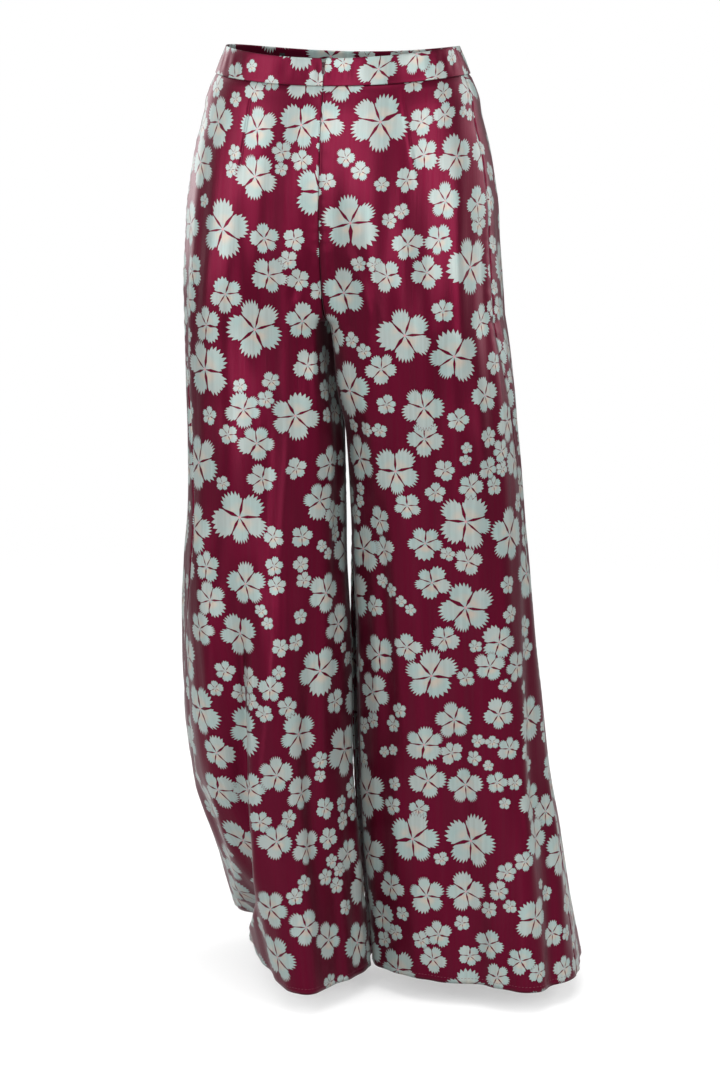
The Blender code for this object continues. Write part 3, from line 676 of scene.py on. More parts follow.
def surface(side, panel, drops, places):
    """Rows of points, unit normals, map places and distances from the seams."""
    rows, plans, maps, edges = [], [], [], []
    for drop in drops:
        outline = Outline(side, drop)
        along = places(outline)
        points, plan = outline.read(along)
        rows.append(points)
        plans.append(plan)
        maps.append(cloth_map(outline, panel, along))
        edges.append(np.minimum(along - along.min(), along.max() - along))
    rows, plans, maps, edges = (np.array(values) for values in (rows, plans, maps, edges))
    fall = np.gradient(rows, axis=0)
    slope = np.sum(plans * fall[..., :2], axis=2) / -fall[..., 2]
    normals = np.concatenate([plans, slope[..., None]], axis=2)
    return rows, normals / np.linalg.norm(normals, axis=2)[..., None], maps, edges


def link_mesh(name, mesh, material):
    """Put a mesh into the scene as one smooth object."""
    mesh.materials.append(material)
    mesh.shade_smooth()
    obj = bpy.data.objects.new(name, mesh)
    bpy.context.scene.collection.objects.link(obj)
    return obj


def link(name, bm, material):
    """Put a finished bmesh into the scene as one smooth object."""
    mesh = bpy.data.meshes.new(name)
    bm.to_mesh(mesh)
    bm.free()
    return link_mesh(name, mesh, material)


def cloth_grid(points, normals, maps):
    """A sheet of cloth through a grid of points, facing along its normals, with its map."""
    rows, columns = points.shape[0] - 1, points.shape[1] - 1
    bm = bmesh.new()
    bmesh.ops.create_grid(bm, x_segments=columns, y_segments=rows, size=1.0)
    number = bm.verts.layers.int.new("number")
    for vertex in bm.verts:
        column = round((vertex.co.x + 1.0) / 2.0 * columns)
        row = round((vertex.co.y + 1.0) / 2.0 * rows)
        vertex[number] = row * (columns + 1) + column
        vertex.co = points[row, column]
    bm.normal_update()
    flat_normals = normals.reshape(-1, 3)
    flat_maps = maps.reshape(-1, 2)
    layer = bm.loops.layers.uv.new("cloth")
    facing = 0.0
    for face in bm.faces:
        facing += face.normal.dot(Vector(flat_normals[face.verts[0][number]]))
        for loop in face.loops:
            loop[layer].uv = flat_maps[loop.vert[number]]
    if facing < 0.0:
        bmesh.ops.reverse_faces(bm, faces=bm.faces)
    return bm


def give_thickness(obj, thickness, inner_material=None):
    """Thicken a sheet inwards from its outer face."""
    if inner_material:
        obj.data.materials.append(inner_material)
    modifier = obj.modifiers.new("Thickness", "SOLIDIFY")
    modifier.thickness = thickness
    modifier.offset = -1.0
    modifier.material_offset = 1 if inner_material else 0


def dressed_offsets(side, panel, maps, edges):
    """How far creases, ripples and seams push the cloth off its outline."""
    loose = crease_offsets(side, panel, maps) + ripple_offsets(maps)
    under_band = GROOVE_DEPTH * bump((maps[..., 1] - BAND_HEIGHT) / GROOVE_WIDTH)
    return loose * ease(edges / LOOSE_EDGE) + seam_offsets(maps[..., 1], edges) + under_band


def panel_drops():
    """The drops of a panel's fine rows, from the waistband's seam to the hem."""
    leg_drops = np.linspace(CROTCH, HEM, LEG_ROWS + 1)[1:]
    coarse = (BAND_HEIGHT - TUCKED, BAND_HEIGHT + SEAM_GAP, *HIP_DROPS, *leg_drops)
    fine = [coarse[:1]]
    for high, low in zip(coarse, coarse[1:]):
        parts = max(LEAST_PARTS, round((low - high) / ROW_STEP))
        fine.append(np.linspace(high, low, parts + 1)[1:])
    return np.concatenate(fine)


def leg_panel(name, side, panel, finishes, thickness, turn_up):
    """A leg panel from the waistband's seam to the hem, whose edge is turned up inside."""
    points, normals, maps, edges = surface(
        side, panel, panel_drops(), lambda outline: fanned_spans(outline, panel)
    )
    points = points + normals * dressed_offsets(side, panel, maps, edges)[..., None]
    last = slice(-1, -1 - TURN_UP_ROWS, -1)
    turned_maps = np.stack([maps[last][..., 0], 2.0 * maps[-1:, :, 1] - maps[last][..., 1]], axis=-1)
    bm = cloth_grid(
        np.concatenate([points, points[last] - normals[last] * turn_up]),
        np.concatenate([normals, -normals[last]]),
        np.concatenate([maps, turned_maps]) + CUT_PLACES[panel, side],
    )
    obj = link(f"{name}_cloth", bm, finishes["satin"])
    give_thickness(obj, thickness, finishes["reverse"])
    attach(obj, "garment")
    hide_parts(*[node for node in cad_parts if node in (name, f"{name}_leg")])


def notch(drop):
    """Half the gap between the band's ends at the centre back."""
    open_share = max(0.0, 1.0 - drop / NOTCH_DEPTH)
    return SEAM_GAP / 2.0 + (NOTCH_HALF_WIDTH - SEAM_GAP / 2.0) * open_share


def band_rows(side, panel, edge):
    """The fine rows of half of the waistband's back or front."""
    drops = np.unique(np.concatenate([np.linspace(0.0, BAND_HEIGHT, BAND_ROWS), [NOTCH_DEPTH]]))
    return surface(
        side, panel, drops, lambda outline: spans(outline, panel, BAND_COLUMNS, edge(outline.drop))
    )[:3]


def waistband_piece(name, points, normals, maps, material):
    """One piece of the waistband, with a wall and softly rolled edges."""
    puckers = BAND_PUCKER_HEIGHT * pucker_wave(maps[..., 0], BAND_PUCKER_WAVE)
    middle = bump(2.0 * maps[..., 1] / BAND_HEIGHT - 1.0)
    outer = points + normals * (BAND_OUT + puckers * middle)[..., None]
    obj = link(f"{name}_cloth", cloth_grid(outer, normals, maps + CUT_PLACES[name]), material)
    give_thickness(obj, BAND_OUT + BAND_IN)
    roll = obj.modifiers.new("Rolled edges", "BEVEL")
    roll.width = BAND_ROLL
    roll.segments = 3
    roll.limit_method = "ANGLE"
    roll.angle_limit = math.radians(BAND_ROLL_ANGLE)
    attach(obj, "garment")
    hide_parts(name)


def waistband(material):
    """The waistband's two backs and its front."""
    for word, side in SIDES.items():
        waistband_piece(f"waistband_back_{word}", *band_rows(side, "back", notch), material)
    left = band_rows(LEFT, "front", lambda drop: 0.0)
    right = band_rows(RIGHT, "front", lambda drop: 0.0)
    joined = [np.concatenate([a, b[:, -2::-1]], axis=1) for a, b in zip(left, right)]
    waistband_piece("waistband_front", *joined, material)


def stitch_row(name, points, directions, normals, length, thickness, material):
    """Short stitches of thread, one at each point."""
    bm = bmesh.new()
    for point, direction, normal in zip(points, directions, normals):
        along = Vector(direction).normalized()
        up = Vector(normal).normalized()
        across = up.cross(along).normalized()
        axes = (along * length / 2.0, across * thickness / 2.0, up * thickness / 2.0)
        place = Matrix.Translation(Vector(point)) @ Matrix(axes).transposed().to_4x4()
        bmesh.ops.create_uvsphere(
            bm, u_segments=STITCH_SIDES, v_segments=STITCH_RINGS, radius=1.0, matrix=place
        )
    obj = link(name, bm, material)
    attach(obj, "garment")


def hem_stitches(name, side, panel, above, length, thickness, material):
    """The machine stitches round one panel's hem."""
    drop = HEM - above
    drops = (drop - STITCH_CLEAR, drop, drop + STITCH_CLEAR)
    count = round(np.ptp(fanned_spans(Outline(side, drop), panel)) / (STITCH_SPACING * length))

    def places(outline):
        edge = fanned_spans(outline, panel)
        return np.linspace(edge[0] + STITCH_CLEAR, edge[-1] - STITCH_CLEAR, count)

    points, normals, maps, edges = surface(side, panel, drops, places)
    away = dressed_offsets(side, panel, maps, edges)
    points = points + normals * (away + STITCH_PROUD * thickness)[..., None]
    directions = np.gradient(points[1], axis=0)
    stitch_row(name, points[1], directions, normals[1], length, thickness, material)


def thin_piece(name, points, normals, thickness, material):
    """A narrow woven piece through a grid of points, which stands for its solid."""
    maps = np.stack(np.meshgrid(range(points.shape[1]), range(points.shape[0])), axis=-1)
    step = np.linalg.norm(points[1, 0] - points[0, 0])
    bm = cloth_grid(points, normals, maps * step)
    obj = link(f"{name}_weave", bm, material)
    give_thickness(obj, thickness)
    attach(obj, "garment")
    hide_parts(name)


def zip_tape(name, side, material):
    """One tape of the zip, inside beside the centre back seam."""
    drops = np.linspace(TAPE_TOP, ZIP_END, TAPE_POINTS)
    across = SEAM_GAP / 2.0 + np.linspace(0.0, TAPE_WIDTH, STRIP_POINTS)
    points, normals = surface(side, "back", drops, lambda outline: across)[:2]
    thin_piece(name, points + normals * TAPE_OUT, normals, TAPE, material)


def zip_coil(name, side, material):
    """The nylon coil along one tape's edge: a fine wound thread."""
    turns = round((ZIP_END - TAPE_TOP) / COIL_PITCH)
    count = turns * COIL_POINTS + 1
    drops = np.linspace(TAPE_TOP, ZIP_END, TAPE_POINTS)
    points, normals = surface(side, "back", drops, lambda outline: np.array([COIL_RADIUS]))[:2]
    axis = points[:, 0] + normals[:, 0] * (TAPE_OUT - TAPE - COIL_RADIUS)
    share = np.linspace(0.0, 1.0, count)
    known = np.linspace(0.0, 1.0, TAPE_POINTS)
    middle = np.stack([np.interp(share, known, axis[:, i]) for i in range(3)], axis=1)
    turn = share * turns * 2.0 * math.pi
    middle[:, 0] += COIL_RADIUS * np.cos(turn)
    middle[:, 1] += COIL_RADIUS * np.sin(turn)
    curve = bpy.data.curves.new(name, "CURVE")
    curve.dimensions = "3D"
    curve.bevel_depth = COIL_THREAD / 2.0
    curve.bevel_resolution = 1
    curve.use_fill_caps = True
    spline = curve.splines.new("POLY")
    spline.points.add(count - 1)
    for point, place in zip(spline.points, middle):
        point.co = (*place, 1.0)
    wound = bpy.data.objects.new(name, curve)
    bpy.context.scene.collection.objects.link(wound)
    graph = bpy.context.evaluated_depsgraph_get()
    mesh = bpy.data.meshes.new_from_object(wound.evaluated_get(graph))
    bpy.data.objects.remove(wound)
    bpy.data.curves.remove(curve)
    mesh.materials.clear()
    obj = link_mesh(name, mesh, material)
    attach(obj, "garment")


def softened_metal(node, body, material):
    """A cast copy of one of the zip's solids, with its edges worn round."""
    bm = bmesh.new()
    bm.from_mesh(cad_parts[node].data)
    bmesh.ops.remove_doubles(bm, verts=bm.verts, dist=METAL_WELD)
    flat, least = math.radians(METAL_FLAT), math.radians(METAL_SHARP)
    bmesh.ops.dissolve_limit(bm, angle_limit=flat, verts=bm.verts, edges=bm.edges)
    sharp = [edge for edge in bm.edges if edge.is_manifold and edge.calc_face_angle() > least]
    bmesh.ops.bevel(
        bm, geom=sharp, offset=METAL_ROUND, segments=2, profile=0.5, affect="EDGES", material=-1,
        clamp_overlap=True,
    )
    bmesh.ops.triangulate(bm, faces=bm.faces)
    obj = link(f"{node}_cast", bm, material)
    obj.data.set_sharp_from_angle(angle=least)
    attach(obj, body)
    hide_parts(node)


def label(material):
    """The small plain woven label behind the band."""
    drops = np.linspace(0.0, LABEL_BELOW, LABEL_POINTS)
    across = LABEL_START + np.linspace(0.0, LABEL_WIDTH, STRIP_POINTS)
    points, normals = surface(LEFT, "back", drops, lambda outline: across)[:2]
    outer = points + normals * TAPE_OUT
    up = (outer[0] - outer[1]) / np.linalg.norm(outer[0] - outer[1], axis=1)[:, None]
    above = [outer[0] + up * LABEL_ABOVE * share for share in LABEL_TOP_SHARES]
    outer = np.concatenate([above, outer])
    normals = np.concatenate([normals[:1]] * len(above) + [normals])
    thin_piece("label", outer, normals, TAPE, material)


class Nodes:
    """Adds shader nodes to a tree and links them as it goes."""

    def __init__(self, tree):
        self.tree = tree

    def put(self, socket, value):
        """Link a socket's value, or set it."""
        if isinstance(value, bpy.types.NodeSocket):
            self.tree.links.new(value, socket)
        else:
            socket.default_value = value

    def fill(self, sockets, values):
        """Link or set each named socket."""
        for name, value in values.items():
            self.put(sockets[name], value)

    def add(self, kind, inputs=None, **settings):
        """A node with its settings, and its named inputs linked or set."""
        node = self.tree.nodes.new(kind)
        for name, value in settings.items():
            setattr(node, name, value)
        self.fill(node.inputs, inputs or {})
        return node

    def worked(self, kind, operation, values):
        """The outputs of a node that works out an operation on values."""
        node = self.add(kind, operation=operation)
        for socket, value in zip(node.inputs, values):
            self.put(socket, value)
        return node.outputs

    def math(self, operation, *values):
        """The result of one Math node."""
        return self.worked("ShaderNodeMath", operation, values)[0]

    def vector(self, operation, *values):
        """The result of one Vector Math node."""
        outputs = self.worked("ShaderNodeVectorMath", operation, values)
        return outputs["Value" if operation == "LENGTH" else "Vector"]

    def noise(self, place, scale, detail):
        """Smooth noise on a flat map."""
        inputs = {"Vector": place, "Scale": scale, "Detail": detail}
        return self.add("ShaderNodeTexNoise", inputs, noise_dimensions="2D").outputs["Fac"]

    def ramp(self, value, low, high):
        """0 at low and 1 at high, smooth between them, and clamped."""
        node = self.add(
            "ShaderNodeMapRange",
            {"Value": value, "From Min": low, "From Max": high},
            interpolation_type="SMOOTHSTEP",
        )
        return node.outputs["Result"]

    def blend(self, factor, first, second):
        """Two colours mixed by a factor."""
        node = self.add("ShaderNodeMix", data_type="RGBA")
        sockets = (node.inputs[0], node.inputs[6], node.inputs[7])
        for socket, value in zip(sockets, (factor, first, second)):
            self.put(socket, value)
        return node.outputs[2]

    def relief(self, height, kind):
        """The normal of a kind of finish, from its height."""
        strength, distance = RELIEF[kind]
        inputs = {"Height": height, "Strength": strength, "Distance": distance}
        return self.add("ShaderNodeBump", inputs).outputs["Normal"]

    def placed(self, tree, inputs):
        """The outputs of a placed node group."""
        return self.add("ShaderNodeGroup", inputs, node_tree=tree).outputs


def new_group(name, inputs, outputs):
    """An empty shader node group, its node helper, and the sockets it is given and gives."""
    tree = bpy.data.node_groups.new(name, "ShaderNodeTree")
    for way, sockets in (("INPUT", inputs), ("OUTPUT", outputs)):
        for socket, kind in sockets:
            tree.interface.new_socket(name=socket, in_out=way, socket_type=f"NodeSocket{kind}")
    start = tree.nodes.new("NodeGroupInput")
    end = tree.nodes.new("NodeGroupOutput")
    return tree, Nodes(tree), start.outputs, end.inputs


def scatter_group():
    """Scattered flower centres: at any place the nearest centre, its room and its own colour."""
    tree, nodes, given, result = new_group(
        "Flower places",
        (("Place", "Vector"), ("Spacing", "Float"), ("Largest", "Float"), ("Shift", "Vector")),
        (("Away", "Vector"), ("Centre", "Vector"), ("Radius", "Float"), ("Own", "Color")),
    )
    shifted = nodes.vector("ADD", given["Place"], given["Shift"])
    scale = nodes.math("DIVIDE", 1.0, given["Spacing"])
    inputs = {"Vector": shifted, "Scale": scale, "Randomness": SCATTER}
    nearest = nodes.add("ShaderNodeTexVoronoi", inputs, voronoi_dimensions="2D", feature="F1")
    room = nodes.add("ShaderNodeTexVoronoi", inputs, voronoi_dimensions="2D", feature="N_SPHERE_RADIUS")
    centre = nodes.vector("SUBTRACT", nearest.outputs["Position"], given["Shift"])
    used = nodes.math("MULTIPLY", given["Spacing"], ROOM_USED)
    radius = nodes.math("MULTIPLY", room.outputs["Radius"], used)
    radius = nodes.math("MINIMUM", radius, given["Largest"])
    enough = nodes.math("GREATER_THAN", radius, nodes.math("MULTIPLY", given["Largest"], LEAST_ROOM))
    found = {
        "Away": nodes.vector("SUBTRACT", given["Place"], centre),
        "Centre": centre,
        "Radius": nodes.math("MULTIPLY", radius, enough),
        "Own": nearest.outputs["Color"],
    }
    nodes.fill(result, found)
    return tree


def flower_group():
    """One flower of PETALS toothed petals, with a star of slits between them."""
    tree, nodes, given, result = new_group(
        "Fan flower",
        (
            ("Away", "Vector"),
            ("Radius", "Float"),
            ("Own", "Color"),
            ("Teeth", "Float"),
            ("Tooth Depth", "Float"),
            *((word, "Color") for word in PETAL_COLOURS),
        ),
        (("Petals", "Float"), ("Body", "Float"), ("Colour", "Color")),
    )
    math_of = nodes.math
    apart = nodes.add("ShaderNodeSeparateXYZ", {"Vector": given["Away"]})
    own = nodes.add("ShaderNodeSeparateColor", {"Color": given["Own"]})
    away = nodes.vector("LENGTH", given["Away"])
    radius = math_of("MAXIMUM", given["Radius"], NO_RADIUS / 10.0)
    share = math_of("DIVIDE", away, radius)
    angle = math_of("ARCTAN2", apart.outputs["Y"], apart.outputs["X"])
    first_turn = math_of("MULTIPLY", own.outputs["Red"], 2.0 * math.pi)
    second_turn = math_of("MULTIPLY", own.outputs["Green"], 2.0 * math.pi)
    lean = math_of("MULTIPLY", math_of("SINE", math_of("ADD", angle, first_turn)), PETAL_LEAN)
    lean_twice = math_of("SINE", math_of("MULTIPLY_ADD", angle, 2.0, second_turn))
    leaning = math_of("MULTIPLY_ADD", lean_twice, PETAL_LEAN / 2.0, math_of("ADD", angle, lean))
    start = math_of("MULTIPLY", own.outputs["Blue"], PETALS)
    petals = math_of("MULTIPLY_ADD", leaning, PETALS / (2.0 * math.pi), start)
    number = math_of("FLOORED_MODULO", math_of("FLOOR", petals), PETALS)
    across = math_of("SUBTRACT", math_of("FRACT", petals), 0.5)
    side = math_of("ABSOLUTE", across)
    flower_seed = math_of("MULTIPLY", own.outputs["Red"], SEED_SPREAD)
    seed = nodes.add("ShaderNodeCombineXYZ", {"X": number, "Y": flower_seed})
    chance = nodes.add("ShaderNodeTexWhiteNoise", {"Vector": seed.outputs[0]}, noise_dimensions="2D")
    uneven = math_of("MULTIPLY_ADD", chance.outputs["Value"], -PETAL_UNEVEN, 1.0)
    shoulder = math_of("POWER", math_of("MULTIPLY", side, 2.0), SHOULDER_POWER)
    shoulder = math_of("MULTIPLY_ADD", shoulder, -SHOULDER, 1.0)
    tooth = math_of("PINGPONG", math_of("MULTIPLY", across, given["Teeth"]), 0.5)
    tooth = math_of("MULTIPLY_ADD", tooth, math_of("MULTIPLY", given["Tooth Depth"], -2.0), 1.0)
    reach = math_of("MULTIPLY", uneven, shoulder)
    edge = math_of("MULTIPLY", reach, math_of("MULTIPLY", tooth, radius))
    inside = math_of("SUBTRACT", edge, away)
    there = math_of("GREATER_THAN", given["Radius"], NO_RADIUS)
    fan = math_of("MULTIPLY", nodes.ramp(inside, -SOFT_EDGE, SOFT_EDGE), there)
    body = math_of("MULTIPLY", nodes.ramp(inside, -RIM - SOFT_EDGE, -RIM + SOFT_EDGE), there)
    opening = math_of("DIVIDE", share, SLIT_WIDEST)
    closing = math_of("DIVIDE", math_of("SUBTRACT", SLIT_ENDS, share), SLIT_ENDS - SLIT_WIDEST)
    width = math_of("MULTIPLY", math_of("MINIMUM", opening, closing), SLIT_WIDTH)
    width = math_of("MULTIPLY", math_of("MAXIMUM", width, SLIT_LEAST), radius)
    petal_width = math_of("MULTIPLY", away, 2.0 * math.pi / PETALS)
    to_slit = math_of("MULTIPLY", math_of("SUBTRACT", 0.5, side), petal_width)
    slit = nodes.ramp(math_of("SUBTRACT", width, to_slit), 0.0, 2.0 * SOFT_EDGE)
    eye_radius = math_of("MULTIPLY", radius, EYE_SHARE)
    eye = nodes.ramp(math_of("SUBTRACT", eye_radius, away), 0.0, SOFT_EDGE)
    kept = math_of("MAXIMUM", math_of("SUBTRACT", 1.0, slit), eye)
    blot = nodes.noise(given["Away"], BLOT_SCALE, 1.0)
    tone = math_of("MULTIPLY_ADD", chance.outputs["Value"], 0.5, math_of("SUBTRACT", blot, 0.25))
    colour = nodes.blend(nodes.ramp(tone, *COOL_TONES), given["Petal"], given["Cool Petal"])
    spot = math_of("MULTIPLY", nodes.ramp(share, *BLUSH_FROM), nodes.ramp(share, *BLUSH_TO))
    spot = math_of("MULTIPLY", spot, nodes.ramp(blot, *BLUSH_TONES))
    colour = nodes.blend(math_of("MULTIPLY", spot, BLUSH_STRENGTH), colour, given["Blush"])
    colour = nodes.blend(eye, colour, given["Eye"])
    nodes.fill(result, {"Petals": math_of("MULTIPLY", fan, kept), "Body": body, "Colour": colour})
    return tree


def print_group(scatter, flower):
    """Three sizes of flowers scattered over the cloth, the larger above the smaller."""
    tree, nodes, given, result = new_group(
        "Flower print",
        (("Place", "Vector"), *PRINT_INPUTS.items()),
        (("Colour", "Color"), ("Flowers", "Float")),
    )

    def layer(word, place):
        """The flowers of one size at a place."""
        largest = given[f"{word} Radius"]
        spacing = nodes.math("MULTIPLY", largest, SPACINGS[word])
        inputs = {"Place": place, "Spacing": spacing, "Largest": largest}
        return nodes.placed(scatter, {**inputs, "Shift": LAYER_SHIFTS[word]})

    def clear_of(radius, *uppers):
        """1 where the flowers above leave a flower of this radius enough room."""
        clear = 1.0
        for away, upper_radius in uppers:
            gap = nodes.math("SUBTRACT", nodes.vector("LENGTH", away), upper_radius)
            free = nodes.math("GREATER_THAN", gap, nodes.math("MULTIPLY", radius, LEAST_CLEAR))
            clear = nodes.math("MULTIPLY", clear, free)
        return clear

    def medium_at(place):
        """The medium flower at a place, and its radius, which is 0 under a large one."""
        medium = layer("Medium", place)
        above = layer("Large", medium["Centre"])
        free = clear_of(medium["Radius"], (above["Away"], above["Radius"]))
        return medium, nodes.math("MULTIPLY", medium["Radius"], free)

    place = given["Place"]
    large = layer("Large", place)
    medium, medium_radius = medium_at(place)
    small = layer("Small", place)
    large_above = layer("Large", small["Centre"])
    medium_above, medium_above_radius = medium_at(small["Centre"])
    free = clear_of(
        small["Radius"],
        (large_above["Away"], large_above["Radius"]),
        (medium_above["Away"], medium_above_radius),
    )
    small_radius = nodes.math("MULTIPLY", small["Radius"], free)
    colour = given["Ground"]
    flowers = 0.0
    for word, found, radius in (
        ("Small", small, small_radius),
        ("Medium", medium, medium_radius),
        ("Large", large, large["Radius"]),
    ):
        teeth, depth = TEETH[word]
        inputs = {"Away": found["Away"], "Radius": radius, "Own": found["Own"]}
        inputs.update({"Teeth": teeth, "Tooth Depth": depth})
        inputs.update({name: given[name] for name in PETAL_COLOURS})
        drawn = nodes.placed(flower, inputs)
        colour = nodes.blend(drawn["Body"], colour, given["Ground"])
        colour = nodes.blend(drawn["Petals"], colour, drawn["Colour"])
        left = nodes.math("SUBTRACT", 1.0, drawn["Body"])
        flowers = nodes.math("ADD", nodes.math("MULTIPLY", flowers, left), drawn["Petals"])
    nodes.fill(result, {"Colour": colour, "Flowers": flowers})
    return tree


def weave_group():
    """The satin's fine upright threads and slubs, as a height, a tone that is partly painted soft
    shade, and a roughness.
    """
    tree, nodes, given, result = new_group(
        "Satin weave",
        (("Place", "Vector"), ("Rough", "Float")),
        (("Height", "Float"), ("Tone", "Float"), ("Roughness", "Float")),
    )

    threads, slubs, shades = (
        nodes.noise(nodes.vector("MULTIPLY", given["Place"], (*counts, 1.0)), 1.0, 2.0)
        for counts in (THREADS, SLUBS, SHADES)
    )
    coarse = nodes.math("MULTIPLY", slubs, SLUB_SHARE)
    height = nodes.math("MULTIPLY_ADD", threads, 1.0 - SLUB_SHARE, coarse)
    tone = nodes.math("MULTIPLY_ADD", slubs, 0.5, nodes.math("MULTIPLY", shades, 0.5))
    uneven = nodes.math("SUBTRACT", tone, 0.5)
    rough = nodes.math("MULTIPLY_ADD", uneven, GLOSS_SWING["satin"], given["Rough"])
    nodes.fill(result, {"Height": height, "Tone": tone, "Roughness": rough})
    return tree


def new_material(name):
    """An empty Principled material, its node helper and its shader."""
    material = bpy.data.materials.new(name)
    material.use_nodes = True
    return material, Nodes(material.node_tree), material.node_tree.nodes["Principled BSDF"]


def satin(name, groups, look, rough, sheen, fade):
    """Printed satin. fade mixes the print towards the ground, as on the cloth's back."""
    material, nodes, shader = new_material(name)
    place = nodes.add("ShaderNodeUVMap", uv_map="cloth").outputs["UV"]
    weave = nodes.placed(groups["weave"], {"Place": place, "Rough": rough})
    settings = {name: getattr(look, name.lower().replace(" ", "_")) for name in PRINT_INPUTS}
    printed = nodes.placed(groups["print"], {"Place": place, **settings})
    colour = nodes.blend(fade, printed["Colour"], look.ground)
    # Painted shade: darker streaks, partly the slubs' own tone, blend the colour towards the shade
    # colour.
    shaded = nodes.ramp(weave["Tone"], *STREAK_TONES)
    shine = nodes.math("MULTIPLY_ADD", printed["Flowers"], look.petal_lustre - look.lustre, look.lustre)
    finish = {
        "Base Color": nodes.blend(nodes.math("MULTIPLY", shaded, look.streak), colour, look.shade),
        "Roughness": weave["Roughness"],
        "Metallic": nodes.math("MULTIPLY", shine, 1.0 - fade),
        "Normal": nodes.relief(weave["Height"], "satin"),
        "Sheen Weight": sheen,
        "Sheen Roughness": 0.35,
        "Specular IOR Level": 0.12,
    }
    nodes.fill(shader.inputs, finish)
    return material


def woven(name, colour, scale, rough):
    """A plain narrow weave on the piece's own map, with painted shade between its threads."""
    material, nodes, shader = new_material(name)
    place = nodes.add("ShaderNodeUVMap", uv_map="cloth").outputs["UV"]
    turned = nodes.add("ShaderNodeMapping", {"Vector": place, "Rotation": (0.0, 0.0, WEAVE_TURN)})
    inputs = {"Vector": turned.outputs[0], "Scale": scale}
    height = nodes.math("MULTIPLY", *(
        nodes.add("ShaderNodeTexWave", inputs, bands_direction=way).outputs["Fac"] for way in ("X", "Y")
    ))
    # Painted shade between the threads: the low places of the weave take a darker share of the colour.
    shaded = (*(WEAVE_DARK * value for value in colour[:3]), 1.0)
    finish = {
        "Base Color": nodes.blend(height, shaded, colour),
        "Roughness": nodes.math("MULTIPLY_ADD", height, GLOSS_SWING["woven"], rough),
        "Normal": nodes.relief(height, "woven"),
        "Specular IOR Level": 0.1,
    }
    nodes.fill(shader.inputs, finish)
    return material


def worn(name, colour, light, scale, rough, coat=0.0, metallic=0.0):
    """A small object's finish with faint blotches of tone and gloss, on Object coordinates."""
    material, nodes, shader = new_material(name)
    place = nodes.add("ShaderNodeTexCoord").outputs["Object"]
    noise = nodes.add("ShaderNodeTexNoise", {"Vector": place, "Scale": scale, "Detail": 3.0})
    blotch = noise.outputs["Fac"]
    tone = nodes.ramp(blotch, *WORN_TONES)
    finish = {
        "Base Color": nodes.blend(tone, colour, light),
        "Roughness": nodes.math("MULTIPLY_ADD", tone, GLOSS_SWING["worn"], rough),
        "Normal": nodes.relief(blotch, "worn"),
        "Coat Weight": coat,
        "Metallic": metallic,
    }
    nodes.fill(shader.inputs, finish)
    return material


MATERIALS = {}


def materials(scene):
    """Every finish of the garment, made once."""
    if not MATERIALS:
        look = scene.palazzo_print
        groups = {"weave": weave_group()}
        groups["print"] = print_group(scatter_group(), flower_group())
        MATERIALS["satin"] = satin("satin", groups, look, look.roughness, look.sheen, fade=0.0)
        MATERIALS["reverse"] = satin("satin_reverse", groups, look, rough=0.62, sheen=0.1, fade=0.45)
        MATERIALS["thread"] = worn("thread", THREAD, THREAD_LIGHT, scale=2500.0, rough=0.5)
        MATERIALS["zip_tape"] = woven("zip_tape", TAPE_COLOUR, scale=900.0, rough=0.75)
        MATERIALS["coil"] = worn("coil", TAPE_COLOUR, THREAD_LIGHT, scale=1500.0, rough=0.35)
        # The slider and pull tab are darkened as painted shade of the notch.
        MATERIALS["enamel"] = worn(
            "enamel", SHADED_ENAMEL, SHADED_ENAMEL_LIGHT, scale=900.0, rough=0.42, coat=0.1, metallic=0.3
        )
        MATERIALS["label"] = woven("label", LABEL_COLOUR, scale=700.0, rough=0.7)
    return MATERIALS


